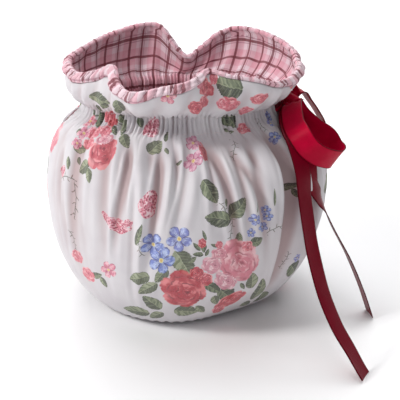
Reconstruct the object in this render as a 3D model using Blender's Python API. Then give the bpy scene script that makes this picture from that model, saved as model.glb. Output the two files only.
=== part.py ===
"""Gathered cotton tea cosy with a frilled, check-lined collar and a ribbon bow.

A standalone Blender 4.5 script: lengths are in metres and angles in degrees, +Z is up and the
hem stands on z = 0. The spout side of the cosy is at -X, the handle side at +X and the front at
-Y. Azimuths run anticlockwise from +X, seen from above. The origin is the centre of the
footprint box, ribbon tails included, so the pot's own axis stands a little beside it.

Two padded panels, front and back, meet at side seams below the spout and handle slots. Each is
one sheet from the drawn-in hem, up over the belly and through the elasticated neck, to the
frill. A check lining faces the frill and rolls over its rim as a plump edge.
"""

import math
from collections import namedtuple

import bmesh
import bpy
import numpy as np
from mathutils import Matrix, Vector

# Where the pot's axis stands, from the centre of the footprint box.
POT_AXIS = Vector((-0.0138, 0.0189, 0.0))

# Cloth thicknesses and the gap that pieces keep.
WALL = 0.0027  # print, wadding and lining, quilted as one
LAYER = 0.0012  # one layer of the frill, its print or its lining
GAP = 0.0003
RIBBON_THICKNESS = 0.001

# The mesh of a panel: columns from the spout side to the handle side.
COLUMNS = 46

# The body's sections, from the inner edge of the hem up to the top of the neck. A section is an
# ellipse, moved by its shift along X from the pot's axis.
Section = namedtuple("Section", "height half_width half_depth shift")
SECTIONS = (
    Section(0.0000, 0.0440, 0.0440, -0.0030),
    Section(0.0000, 0.0540, 0.0540, -0.0030),
    Section(0.0032, 0.0625, 0.0620, -0.0030),
    Section(0.0120, 0.0715, 0.0710, -0.0025),
    Section(0.0260, 0.0800, 0.0800, -0.0015),
    Section(0.0420, 0.0862, 0.0862, -0.0005),
    Section(0.0600, 0.0900, 0.0902, 0.0005),
    Section(0.0780, 0.0912, 0.0912, 0.0010),
    Section(0.0930, 0.0900, 0.0890, 0.0010),
    Section(0.1050, 0.0865, 0.0825, 0.0000),
    Section(0.1145, 0.0805, 0.0720, -0.0020),
    Section(0.1200, 0.0725, 0.0590, -0.0040),
    Section(0.1238, 0.0655, 0.0535, -0.0040),
    Section(0.1278, 0.0628, 0.0518, -0.0040),
    Section(0.1318, 0.0620, 0.0518, -0.0040),
)
HEM_FOLD, BAND_BOTTOM, BAND_MIDDLE, NECK_TOP = 1, 12, 13, 14
FACING_BOTTOM = 11.0  # where the frill's lining starts, as a place between two sections
BODY_ROWS = (0, 1, 1.6, 2.4, 3.3, 4.4, 5.5, 6.6, 7.7, 8.7, 9.5, 10.2)

# The frill's rim, which rises, dips and folds as it goes round. Radii are from the pot's axis,
# the turnover is the height of the rolled edge, and the flare is how far the frill starts
# outwards before it turns up.
Rim = namedtuple("Rim", "azimuth radius height turnover flare")
RIM = (
    Rim(8, 0.0722, 0.1540, 0.0065, 0.0010),
    Rim(23, 0.0748, 0.1590, 0.0065, 0.0060),
    Rim(41, 0.0735, 0.1646, 0.0065, 0.0085),
    Rim(60, 0.0700, 0.1675, 0.0065, 0.0085),
    Rim(72, 0.0620, 0.1630, 0.0065, 0.0085),
    Rim(81, 0.0555, 0.1550, 0.0060, 0.0085),
    Rim(90, 0.0525, 0.1495, 0.0055, 0.0085),
    Rim(98, 0.0555, 0.1560, 0.0060, 0.0085),
    Rim(106, 0.0655, 0.1680, 0.0065, 0.0085),
    Rim(116, 0.0690, 0.1695, 0.0065, 0.0085),
    Rim(130, 0.0695, 0.1672, 0.0065, 0.0085),
    Rim(143, 0.0715, 0.1640, 0.0065, 0.0085),
    Rim(157, 0.0735, 0.1600, 0.0065, 0.0085),
    Rim(176, 0.0752, 0.1565, 0.0065, 0.0085),
    Rim(190, 0.0725, 0.1540, 0.0065, 0.0085),
    Rim(204, 0.0700, 0.1540, 0.0065, 0.0085),
    Rim(216, 0.0650, 0.1575, 0.0065, 0.0085),
    Rim(227, 0.0625, 0.1620, 0.0065, 0.0085),
    Rim(237, 0.0720, 0.1565, 0.0065, 0.0085),
    Rim(248, 0.0810, 0.1530, 0.0065, 0.0085),
    Rim(262, 0.0787, 0.1565, 0.0060, 0.0085),
    Rim(273, 0.0735, 0.1590, 0.0060, 0.0085),
    Rim(283, 0.0580, 0.1620, 0.0035, 0.0085),
    Rim(293, 0.0640, 0.1592, 0.0025, 0.0085),
    Rim(305, 0.0705, 0.1565, 0.0025, 0.0080),
    Rim(318, 0.0710, 0.1525, 0.0040, 0.0065),
    Rim(336, 0.0705, 0.1525, 0.0065, 0.0020),
    Rim(352, 0.0705, 0.1540, 0.0065, 0.0000),
)
FRILL_BULGE = 0.0045  # how far it stands out below its rim
FLARE_RISE, SHOULDER_DROP = 0.12, 0.52  # as shares of the frill's height
FRILL_ROWS = 4
EDGE_PROUD = 0.0009  # how far the rolled edge stands proud of the print

# Folds that run down from the neck, as troughs between soft ridges.
Fold = namedtuple("Fold", "azimuth depth width reach")
FOLDS = (
    Fold(11, 0.0022, 4.5, 0.055),
    Fold(24, 0.0030, 4.0, 0.075),
    Fold(39, 0.0034, 4.5, 0.090),
    Fold(54, 0.0026, 4.0, 0.060),
    Fold(68, 0.0036, 4.5, 0.085),
    Fold(84, 0.0030, 4.0, 0.065),
    Fold(99, 0.0034, 4.5, 0.090),
    Fold(113, 0.0026, 4.0, 0.060),
    Fold(128, 0.0034, 4.5, 0.080),
    Fold(145, 0.0028, 4.5, 0.060),
    Fold(163, 0.0018, 5.0, 0.045),
    Fold(204, 0.0016, 5.5, 0.060),
    Fold(222, 0.0022, 4.5, 0.070),
    Fold(238, 0.0030, 4.0, 0.100),
    Fold(247, 0.0036, 3.4, 0.110),
    Fold(258, 0.0032, 3.4, 0.080),
    Fold(267, 0.0026, 3.0, 0.060),
    Fold(276, 0.0020, 3.0, 0.040),
    Fold(284, 0.0030, 3.2, 0.070),
    Fold(291, 0.0032, 3.2, 0.075),
    Fold(300, 0.0026, 3.6, 0.060),
    Fold(314, 0.0044, 4.4, 0.105),
    Fold(331, 0.0030, 4.4, 0.075),
    Fold(346, 0.0020, 4.5, 0.050),
)
FOLD_START = 0.010  # below the neck, where a fold reaches its full depth
SHIRR_DEPTH = 0.0006  # ridges that the neck's elastic draws up, one to every two columns
HEM_GATHER_COUNT, HEM_GATHER_DEPTH = 30, 0.0012
TUCK_AZIMUTH, TUCK_WIDTH, TUCK_DEPTH, TUCK_REACH = 303, 26, 0.0075, 0.030  # one at the hem
SWELLS, SWELL_HEIGHT = ((3, 40), (5, 110)), 0.0007  # (waves round the body, azimuth of one)

# The slots between the panels, as half-widths over a range of section places.
Slot = namedtuple("Slot", "azimuth lowest highest half_width")
SPOUT_SLOT = Slot(180, 7.6, 12.6, 0.0135)
HANDLE_SLOT = Slot(360, 6.2, 12.05, 0.0135)
SEAM_HALF_GAP = 0.0002
SLOT_SPREAD = 26  # degrees over which columns make room for a slot

# The bow, from the pot's axis: a knot, and ribbon routes as points with the way across the
# ribbon and its width there, which the knot gathers in.
KNOT = Vector((0.0666, -0.0015, 0.1284))
KNOT_SIZE = Vector((0.0112, 0.0112, 0.0108))
KNOT_TILT = 33  # it leans back into the hollow between the neck and the shoulder
KNOT_SQUARENESS = 4.0  # 2 is a ball, and more is nearer a box
Turn = namedtuple("Turn", "x y z across_x across_y across_z width")
NEAR_LOOP = (
    Turn(0.0670, -0.0090, 0.1301, 1.00, 0.00, 0.05, 0.008),
    Turn(0.0674, -0.0147, 0.1318, 0.95, 0.00, 0.30, 0.012),
    Turn(0.0651, -0.0211, 0.1318, 0.90, 0.00, 0.42, 0.0135),
    Turn(0.0648, -0.0290, 0.1300, 0.86, 0.03, 0.50, 0.0135),
    Turn(0.0671, -0.0384, 0.1258, 0.84, 0.05, 0.54, 0.0135),
    Turn(0.0711, -0.0473, 0.1233, 0.80, 0.02, 0.60, 0.0135),
    Turn(0.0752, -0.0520, 0.1166, 0.72, -0.05, 0.69, 0.0135),
    Turn(0.0794, -0.0528, 0.1110, 0.62, -0.10, 0.78, 0.0135),
    Turn(0.0847, -0.0505, 0.1066, 0.56, -0.10, 0.80, 0.0135),
    Turn(0.0906, -0.0440, 0.1038, 0.55, -0.05, 0.80, 0.0135),
    Turn(0.0932, -0.0365, 0.1050, 0.55, -0.05, 0.80, 0.0135),
    Turn(0.0906, -0.0310, 0.1076, 0.55, -0.10, 0.80, 0.0135),
    Turn(0.0870, -0.0272, 0.1130, 0.55, -0.15, 0.80, 0.0135),
    Turn(0.0821, -0.0217, 0.1209, 0.55, -0.15, 0.80, 0.0135),
    Turn(0.0748, -0.0132, 0.1266, 0.62, -0.10, 0.74, 0.012),
    Turn(0.0690, -0.0080, 0.1318, 0.90, 0.00, 0.36, 0.0075),
)
FAR_LOOP = (
    Turn(0.0662, 0.0053, 0.1310, 1.00, 0.00, -0.10, 0.008),
    Turn(0.0690, 0.0102, 0.1344, 0.40, 0.60, 0.50, 0.012),
    Turn(0.0745, 0.0128, 0.1336, -0.28, 0.94, 0.05, 0.0135),
    Turn(0.0795, 0.0142, 0.1270, -0.22, 0.94, -0.10, 0.0135),
    Turn(0.0847, 0.0147, 0.1198, -0.18, 0.95, -0.15, 0.0135),
    Turn(0.0890, 0.0147, 0.1126, -0.15, 0.95, -0.20, 0.0135),
    Turn(0.0898, 0.0147, 0.1078, -0.15, 0.95, -0.20, 0.0135),
    Turn(0.0862, 0.0147, 0.1076, -0.20, 0.95, -0.15, 0.0135),
    Turn(0.0812, 0.0148, 0.1142, -0.22, 0.94, -0.10, 0.0135),
    Turn(0.0750, 0.0130, 0.1224, -0.10, 0.94, 0.00, 0.013),
    Turn(0.0680, 0.0100, 0.1271, 0.80, 0.40, -0.20, 0.01),
    Turn(0.0666, 0.0053, 0.1270, 1.00, 0.00, -0.10, 0.008),
)
NEAR_TAIL = (
    Turn(0.0650, -0.0083, 0.1260, 0.80, 0.00, -0.60, 0.008),
    Turn(0.0648, -0.0135, 0.1260, 0.82, 0.05, -0.56, 0.011),
    Turn(0.0636, -0.0208, 0.1249, 0.88, 0.12, -0.45, 0.0135),
    Turn(0.0626, -0.0273, 0.1232, 0.90, 0.17, -0.38, 0.0135),
    Turn(0.0634, -0.0422, 0.1192, 0.91, 0.33, -0.24, 0.0135),
    Turn(0.0659, -0.0503, 0.1137, 0.84, 0.48, -0.25, 0.0135),
    Turn(0.0691, -0.0598, 0.1010, 0.73, 0.64, -0.22, 0.0135),
    Turn(0.0702, -0.0650, 0.0875, 0.62, 0.78, -0.10, 0.0135),
    Turn(0.0722, -0.0770, 0.0699, 0.54, 0.84, 0.00, 0.0135),
    Turn(0.0746, -0.0855, 0.0570, 0.54, 0.84, 0.00, 0.0135),
    Turn(0.0795, -0.0970, 0.0398, 0.50, 0.86, 0.00, 0.0135),
    Turn(0.0862, -0.1080, 0.0249, 0.45, 0.89, 0.00, 0.0135),
    Turn(0.0934, -0.1155, 0.0136, 0.40, 0.92, 0.00, 0.0135),
    Turn(0.0986, -0.1202, 0.0050, 0.37, 0.93, 0.00, 0.0135),
    Turn(0.1014, -0.1220, 0.0008, 0.36, 0.93, 0.00, 0.0135),
)
FAR_TAIL = (
    Turn(0.0654, -0.0074, 0.1238, 0.83, 0.00, -0.55, 0.008),
    Turn(0.0655, -0.0131, 0.1230, 0.83, 0.15, -0.50, 0.01),
    Turn(0.0667, -0.0191, 0.1213, 0.82, 0.40, -0.35, 0.013),
    Turn(0.0693, -0.0287, 0.1180, 0.83, 0.45, -0.27, 0.0135),
    Turn(0.0723, -0.0404, 0.1112, 0.75, 0.55, -0.38, 0.0135),
    Turn(0.0743, -0.0485, 0.1025, 0.68, 0.62, -0.35, 0.0135),
    Turn(0.0758, -0.0528, 0.0921, 0.60, 0.72, -0.25, 0.0135),
    Turn(0.0802, -0.0512, 0.0836, 0.40, 0.88, -0.05, 0.0135),
    Turn(0.0842, -0.0481, 0.0750, 0.05, 0.99, 0.00, 0.0135),
    Turn(0.0906, -0.0465, 0.0603, -0.10, 0.99, 0.00, 0.0135),
    Turn(0.1018, -0.0455, 0.0394, -0.15, 0.99, 0.00, 0.0135),
    Turn(0.1110, -0.0450, 0.0186, -0.15, 0.99, 0.00, 0.0135),
    Turn(0.1174, -0.0450, 0.0005, -0.15, 0.99, 0.00, 0.0135),
)
RIBBON_STATIONS = 30
TIE_SPAN = (7, 22)  # degrees from the handle slot over which each tie lies on the neck
TIE_STATIONS = 5
TIE_PLACES = (12.75, 13.80)  # the places of its edges

# Colours as they look: base colour, roughness.
PRINT_COTTON = ("floral cotton", (0.86, 0.80, 0.80), 0.85)
CHECK_COTTON = ("check cotton", (0.78, 0.45, 0.50), 0.85)
SATIN = ("ribbon satin", (0.35, 0.01, 0.05), 0.40)


def hermite(places, values, place):
    """A smooth curve through values at rising places, read at one place."""
    last = len(places) - 2
    i = min(max(int(np.searchsorted(places, place, side="right")) - 1, 0), last)
    slopes = []
    for k in (i, i + 1):
        low, high = max(k - 1, 0), min(k + 1, len(places) - 1)
        slopes.append((values[high] - values[low]) / (places[high] - places[low]))
    step = places[i + 1] - places[i]
    t = (place - places[i]) / step
    return (
        values[i] * (1 + 2 * t) * (1 - t) ** 2
        + slopes[0] * step * t * (1 - t) ** 2
        + values[i + 1] * t * t * (3 - 2 * t)
        + slopes[1] * step * t * t * (t - 1)
    )


def rim_at(azimuth):
    """The rim at an azimuth, from the table taken as a closed ring."""
    turned = (azimuth - RIM[0].azimuth) % 360 + RIM[0].azimuth
    ring = [rim._replace(azimuth=rim.azimuth - 360) for rim in RIM[-2:]]
    ring += [*RIM, *(rim._replace(azimuth=rim.azimuth + 360) for rim in RIM[:2])]
    azimuths = [rim.azimuth for rim in ring]
    radius, height, turnover, flare = (
        hermite(azimuths, [rim[k] for rim in ring], turned) for k in range(1, 5)
    )
    return Rim(azimuth, radius, height, turnover, flare)


def turn_between(first, second):
    """The turn from one azimuth to another, from -180 to 180 degrees."""
    return (second - first + 180) % 360 - 180


def body_point(azimuth, place):
    """A point of the body's smooth form at a place between two sections."""
    places = range(len(SECTIONS))
    height, half_width, half_depth, shift = (
        hermite(places, [section[k] for section in SECTIONS], place) for k in range(4)
    )
    if place <= HEM_FOLD:
        height = 0.0
    angle = math.radians(azimuth)
    point = Vector((shift + half_width * math.cos(angle), half_depth * math.sin(angle), height))
    if height < TUCK_REACH:
        bell = math.exp(-((turn_between(TUCK_AZIMUTH, azimuth) / TUCK_WIDTH) ** 2))
        outwards = Vector((math.cos(angle), math.sin(angle), 0))
        point -= outwards * (TUCK_DEPTH * bell * (1 - height / TUCK_REACH))
    return point


def frill_corners(azimuth):
    """The four points that shape the frill's curve at an azimuth, from neck to rim."""
    angle = math.radians(azimuth)
    outwards = Vector((math.cos(angle), math.sin(angle), 0))
    rim = rim_at(azimuth)
    neck = body_point(azimuth, NECK_TOP)
    top = outwards * rim.radius + Vector((0, 0, rim.height))
    rise = rim.height - neck.z
    flare = neck + outwards * rim.flare + Vector((0, 0, FLARE_RISE * rise))
    shoulder = top + outwards * FRILL_BULGE - Vector((0, 0, SHOULDER_DROP * rise))
    return neck, flare, shoulder, top


def frill_point(azimuth, share):
    """A point of the frill's smooth form, at a share of the way from neck to rim."""
    neck, flare, shoulder, top = frill_corners(azimuth)
    left = 1 - share
    return (
        neck * left**3
        + flare * (3 * share * left * left)
        + shoulder * (3 * share * share * left)
        + top * share**3
    )


def share_below_rim(azimuth, length):
    """The place on the frill, as a share of its way, that lies a length below the rim."""
    shoulder, top = frill_corners(azimuth)[2:]
    return 1 - length / (3 * (top - shoulder).length)


def form_point(azimuth, place):
    """A point of the smooth form: sections up to the neck's top, and the frill above it."""
    if place <= NECK_TOP:
        return body_point(azimuth, place)
    return frill_point(azimuth, place - NECK_TOP)


def form_normal(azimuth, place):
    """The way that the smooth form faces, outwards."""
    if place <= HEM_FOLD:
        return Vector((0, 0, -1))
    turn, step = 0.5, 0.02
    along = form_point(azimuth + turn, place) - form_point(azimuth - turn, place)
    here = form_point(azimuth, place)
    below = form_point(azimuth, place - step)
    above = form_point(azimuth, min(place + step, NECK_TOP + 1))
    up = (here - below).normalized() + (above - here).normalized()
    return along.cross(up).normalized()


def fold_relief(azimuth, height):
    """How far the folds and swells lift the body's cloth off its smooth form."""
    neck_height = SECTIONS[BAND_BOTTOM].height
    below = neck_height - height
    relief = 0.0
    for fold in FOLDS:
        if 0 < below < fold.reach:
            bell = math.exp(-((turn_between(fold.azimuth, azimuth) / fold.width) ** 2))
            start = min(below / FOLD_START, 1)
            relief -= fold.depth * bell * start * (1 - below / fold.reach)
    lift = math.sin(math.pi * min(max(height / neck_height, 0), 1))
    for waves, crest in SWELLS:
        relief += SWELL_HEIGHT * lift * math.cos(math.radians(waves * (azimuth - crest)))
    return relief


def relief_at(azimuth, place, column):
    """All relief on the body and neck: folds, hem gathers and the neck's shirring."""
    if place <= HEM_FOLD or place > NECK_TOP:
        return 0.0
    height = body_point(azimuth, place).z
    relief = fold_relief(azimuth, height) if place < BAND_BOTTOM else 0.0
    hem_share = max(0.0, 1 - abs(place - 2.2) / 1.2)
    wave = math.cos(math.radians(HEM_GATHER_COUNT * azimuth))
    relief += HEM_GATHER_DEPTH * hem_share * wave
    if place >= BAND_BOTTOM:
        relief += SHIRR_DEPTH * (1 if column % 2 else -1)
    return relief


def cloth_point(azimuth, place, inset, column):
    """A point of the cloth, inset from its outer face along the form's normal."""
    offset = relief_at(azimuth, place, column) - inset
    point = form_point(azimuth, place) + form_normal(azimuth, place) * offset
    return point + POT_AXIS


def slot_half_width(slot, place):
    """Half the opening between the panels at a place: the slot, or the closed seam."""
    share = (place - slot.lowest) / (slot.highest - slot.lowest)
    if not 0 < share < 1:
        return SEAM_HALF_GAP
    return SEAM_HALF_GAP + slot.half_width * math.sin(math.pi * share) ** 0.8


def column_azimuth(column, place, is_front):
    """The azimuth of a panel's column, which gives way to the slots at both sides."""
    share = column / COLUMNS
    spout = slot_half_width(SPOUT_SLOT, place)
    handle = slot_half_width(HANDLE_SLOT, place)
    reach = SECTIONS[min(round(place), NECK_TOP)].half_width
    from_spout = share * 180
    azimuth = from_spout
    azimuth += math.degrees(spout / reach) * math.exp(-from_spout / SLOT_SPREAD)
    azimuth -= math.degrees(handle / reach) * math.exp(-(180 - from_spout) / SLOT_SPREAD)
    return 180 + azimuth if is_front else 180 - azimuth


Row = namedtuple("Row", "place outer_inset inner_inset")


def panel_rows():
    """A panel's rows from hem to neck: padded in the body, one layer behind the lining."""
    padded = [Row(place, 0, WALL) for place in (*BODY_ROWS, FACING_BOTTOM - 0.22)]
    places = (FACING_BOTTOM - 0.14, FACING_BOTTOM, BAND_BOTTOM, BAND_MIDDLE, NECK_TOP)
    return padded + [Row(place, 0, LAYER) for place in places]


def lining_rows():
    """The lining's rows inside the neck, behind the panel's one layer."""
    places = (FACING_BOTTOM, BAND_BOTTOM, BAND_MIDDLE, NECK_TOP)
    return [Row(place, LAYER + GAP, WALL) for place in places]


def edge_rows():
    """The rolled edge's rows, as places from its lower lip to its top."""
    return (
        Row(0.06, -0.25 * EDGE_PROUD, WALL),
        Row(0.18, -EDGE_PROUD, WALL + 0.0003),
        Row(0.60, -1.1 * EDGE_PROUD, WALL + 0.0004),
        Row(0.88, -0.3 * EDGE_PROUD, WALL - 0.0003),
        Row(1.00, 0.0007, 0.0017),
    )


def frill_rows(azimuth, gap, outer_inset, inner_inset):
    """The frill's rows above the neck, up to a gap below the rolled edge."""
    lip = share_below_rim(azimuth, rim_at(azimuth).turnover + gap)
    steps = range(1, FRILL_ROWS + 1)
    return [Row(NECK_TOP + lip * step / FRILL_ROWS, outer_inset, inner_inset) for step in steps]


def sheet_mesh(name, columns):
    """A closed thin solid from columns of (outer, inner) points: faces, edges and ends."""
    mesh = bpy.data.meshes.new(name)
    body = bmesh.new()
    made = [
        [(body.verts.new(outer), body.verts.new(inner)) for outer, inner in column]
        for column in columns
    ]
    for left, right in zip(made, made[1:]):
        for low in range(len(left) - 1):
            for side, is_outer in ((0, True), (1, False)):
                here, over = left[low][side], right[low][side]
                above, across = left[low + 1][side], right[low + 1][side]
                for corners in ((here, over, across), (here, across, above)):
                    body.faces.new(corners if is_outer else corners[::-1])
        body.faces.new((left[0][0], left[0][1], right[0][1], right[0][0]))
        body.faces.new((left[-1][1], left[-1][0], right[-1][0], right[-1][1]))
    for column, is_first in ((made[0], True), (made[-1], False)):
        for (outer_a, inner_a), (outer_b, inner_b) in zip(column, column[1:]):
            corners = (outer_a, outer_b, inner_b, inner_a)
            body.faces.new(corners if is_first else corners[::-1])
    bmesh.ops.recalc_face_normals(body, faces=body.faces[:])
    if body.calc_volume(signed=True) < 0:
        bmesh.ops.reverse_faces(body, faces=body.faces[:])
    body.to_mesh(mesh)
    body.free()
    return mesh


def material(finish):
    """A Principled material of a finish's colour and roughness, made once."""
    name, colour, roughness = finish
    if name in bpy.data.materials:
        return bpy.data.materials[name]
    made = bpy.data.materials.new(name)
    made.use_nodes = True
    shader = made.node_tree.nodes["Principled BSDF"]
    shader.inputs["Base Color"].default_value = (*colour, 1)
    shader.inputs["Roughness"].default_value = roughness
    shader.inputs["Metallic"].default_value = 0
    return made


def add_object(name, mesh, finish):
    """Links a mesh into the scene as a smooth-shaded object with its finish."""
    mesh.shade_smooth()
    mesh.materials.append(material(finish))
    made = bpy.data.objects.new(name, mesh)
    bpy.context.scene.collection.objects.link(made)
    return made


def sheet_column(rows, column, is_front):
    """The (outer, inner) points of one column of a panel or a lining."""
    points = []
    for row in rows:
        azimuth = column_azimuth(column, min(row.place, NECK_TOP), is_front)
        outer = cloth_point(azimuth, row.place, row.outer_inset, column)
        inner = cloth_point(azimuth, row.place, row.inner_inset, column)
        points.append((outer, inner))
    return points


def add_panel(name, is_front):
    """One panel of the cosy, from its hem to just under the rolled edge."""
    columns = []
    for column in range(COLUMNS + 1):
        azimuth = column_azimuth(column, NECK_TOP, is_front)
        rows = panel_rows() + frill_rows(azimuth, GAP, 0, LAYER)
        columns.append(sheet_column(rows, column, is_front))
    add_object(name, sheet_mesh(name, columns), PRINT_COTTON)


def add_lining(name, is_front):
    """The lining of one panel's frill, with the edge that rolls over the rim."""
    columns = []
    for column in range(COLUMNS + 1):
        azimuth = column_azimuth(column, NECK_TOP, is_front)
        rows = lining_rows() + frill_rows(azimuth, 0, LAYER + GAP, WALL)
        lip = rows[-1].place
        rest = NECK_TOP + 1 - lip
        rows += [row._replace(place=lip + rest * row.place) for row in edge_rows()]
        columns.append(sheet_column(rows, column, is_front))
    add_object(name, sheet_mesh(name, columns), CHECK_COTTON)


def ribbon_columns(route):
    """The corners of a ribbon's section at each station of a smooth route."""
    places = range(len(route))
    tracks = [[turn[k] for turn in route] for k in range(7)]
    last = len(route) - 1

    def read(place):
        return Turn(*(hermite(places, track, place) for track in tracks))

    def centre(turn):
        return Vector((turn.x, turn.y, max(turn.z, RIBBON_THICKNESS / 2)))

    columns = []
    for station in range(RIBBON_STATIONS + 1):
        place = last * station / RIBBON_STATIONS
        turn = read(place)
        ahead, behind = read(min(place + 0.05, last)), read(max(place - 0.05, 0))
        along = (centre(ahead) - centre(behind)).normalized()
        across = Vector((turn.across_x, turn.across_y, turn.across_z))
        across = (across - along * across.dot(along)).normalized() * (turn.width / 2)
        out = along.cross(across).normalized() * (RIBBON_THICKNESS / 2)
        middle = centre(turn) + POT_AXIS
        low, high = middle - across, middle + across
        columns.append([(low + out, low - out), (high + out, high - out)])
    for corner in (corner for column in columns for pair in column for corner in pair):
        corner.z = max(corner.z, 0)
    return columns


def add_ribbon(name, route):
    """A flat length of ribbon that follows a route."""
    add_object(name, sheet_mesh(name, ribbon_columns(route)), SATIN)


def add_tie(name, side):
    """The end of the ribbon that is sewn over the neck's band beside the handle slot."""
    columns = []
    for k in range(TIE_STATIONS + 1):
        turn = TIE_SPAN[0] + (TIE_SPAN[1] - TIE_SPAN[0]) * k / TIE_STATIONS
        azimuth = side * turn
        column = []
        for place in TIE_PLACES:
            base = body_point(azimuth, place) + POT_AXIS
            out = form_normal(azimuth, place)
            near = base + out * (SHIRR_DEPTH + 2 * GAP)
            column.append((near + out * RIBBON_THICKNESS, near))
        columns.append(column)
    add_object(name, sheet_mesh(name, columns), SATIN)


def add_knot():
    """The bow's knot: a soft square lump that leans back between the neck and the shoulder."""
    mesh = bpy.data.meshes.new("ribbon_knot")
    body = bmesh.new()
    bmesh.ops.create_icosphere(body, subdivisions=3, radius=1)
    for vert in body.verts:
        power = sum(abs(value) ** KNOT_SQUARENESS for value in vert.co)
        vert.co = vert.co * KNOT_SIZE / (2 * power ** (1 / KNOT_SQUARENESS))
    body.to_mesh(mesh)
    body.free()
    mesh.transform(Matrix.Rotation(math.radians(KNOT_TILT), 4, "Y"))
    mesh.transform(Matrix.Translation(KNOT + POT_AXIS))
    add_object("ribbon_knot", mesh, SATIN)


def main():
    """Builds the cosy in an empty scene."""
    for old in list(bpy.data.objects):
        bpy.data.objects.remove(old)
    for name, is_front in (("front", True), ("back", False)):
        add_panel(f"{name}_panel", is_front)
        add_lining(f"{name}_lining", is_front)
    add_knot()
    add_ribbon("ribbon_near_loop", NEAR_LOOP)
    add_ribbon("ribbon_far_loop", FAR_LOOP)
    add_ribbon("ribbon_near_tail", NEAR_TAIL)
    add_ribbon("ribbon_far_tail", FAR_TAIL)
    add_tie("ribbon_front_tie", -1)
    add_tie("ribbon_back_tie", 1)


main()
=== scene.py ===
"""Dresses a gathered cotton tea cosy: its prints, checks, satin, folds, gathers and stitches.

Lengths are in metres and angles in degrees. The hem stands on z = 0, the front is at -Y, the
spout side at -X and the handle side at +X. Azimuths run anticlockwise from +X, seen from above.
The cloth follows the sections, rim, folds and ribbon routes of the solids that it replaces, and
adds the finer relief of sewn cotton.
"""

from __future__ import annotations

import logging
import math
from dataclasses import dataclass
from enum import Enum
from typing import NamedTuple, Sequence

import bmesh
import bpy
import numpy as np
from mathutils import Matrix, Vector

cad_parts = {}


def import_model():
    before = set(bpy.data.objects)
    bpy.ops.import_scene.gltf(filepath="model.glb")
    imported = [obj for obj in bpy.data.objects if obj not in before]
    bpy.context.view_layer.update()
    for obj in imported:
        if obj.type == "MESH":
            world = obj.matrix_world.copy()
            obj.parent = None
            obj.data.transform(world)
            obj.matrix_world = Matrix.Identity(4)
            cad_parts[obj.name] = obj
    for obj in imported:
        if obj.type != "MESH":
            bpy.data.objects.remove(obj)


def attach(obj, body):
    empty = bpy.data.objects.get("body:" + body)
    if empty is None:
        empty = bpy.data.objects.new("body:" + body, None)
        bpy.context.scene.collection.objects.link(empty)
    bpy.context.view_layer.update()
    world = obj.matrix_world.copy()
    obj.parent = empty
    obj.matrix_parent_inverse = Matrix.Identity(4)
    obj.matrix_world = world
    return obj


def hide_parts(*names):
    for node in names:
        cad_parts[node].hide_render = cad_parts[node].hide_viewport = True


LOG = logging.getLogger("tea_cosy")
Array = np.ndarray
Colour = tuple[float, float, float]
Place = tuple[float, float, float]


# ---- the cosy's form, as the solids have it

POT_AXIS = np.array((-0.0138, 0.0189, 0.0))  # from the centre of the footprint box

WALL = 0.0027  # print, wadding and lining, quilted as one
LAYER = 0.0012  # one layer of the frill, its print or its lining
GAP = 0.0003
RIBBON_WIDTH = 0.0135


class Section(NamedTuple):
    """A level of the body: an ellipse, moved by its shift along X from the pot's axis."""

    height: float
    half_width: float
    half_depth: float
    shift: float


class Rim(NamedTuple):
    """The frill's rim at an azimuth, and how its rolled edge and its foot lie there."""

    azimuth: float
    radius: float
    height: float
    turnover: float
    flare: float


class Fold(NamedTuple):
    """A trough that runs down from the neck between soft ridges."""

    azimuth: float
    depth: float
    width: float
    reach: float


class Slot(NamedTuple):
    """A slot between the panels, over a range of places between sections."""

    azimuth: float
    lowest: float
    highest: float
    half_width: float


class Turn(NamedTuple):
    """A point of a ribbon's route, the way across the ribbon and its width there."""

    x: float
    y: float
    z: float
    across_x: float
    across_y: float
    across_z: float
    width: float


SECTIONS = (
    Section(0.0000, 0.0440, 0.0440, -0.0030),
    Section(0.0000, 0.0540, 0.0540, -0.0030),
    Section(0.0032, 0.0625, 0.0620, -0.0030),
    Section(0.0120, 0.0715, 0.0710, -0.0025),
    Section(0.0260, 0.0800, 0.0800, -0.0015),
    Section(0.0420, 0.0862, 0.0862, -0.0005),
    Section(0.0600, 0.0900, 0.0902, 0.0005),
    Section(0.0780, 0.0912, 0.0912, 0.0010),
    Section(0.0930, 0.0900, 0.0890, 0.0010),
    Section(0.1050, 0.0865, 0.0825, 0.0000),
    Section(0.1145, 0.0805, 0.0720, -0.0020),
    Section(0.1200, 0.0725, 0.0590, -0.0040),
    Section(0.1238, 0.0655, 0.0535, -0.0040),
    Section(0.1278, 0.0628, 0.0518, -0.0040),
    Section(0.1318, 0.0620, 0.0518, -0.0040),
)
HEM_FOLD, BAND_BOTTOM, NECK_TOP = 1, 12, 14
RIM_PLACE = NECK_TOP + 1
FACING_BOTTOM = 11.0  # where the frill's lining starts, as a place between two sections

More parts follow.
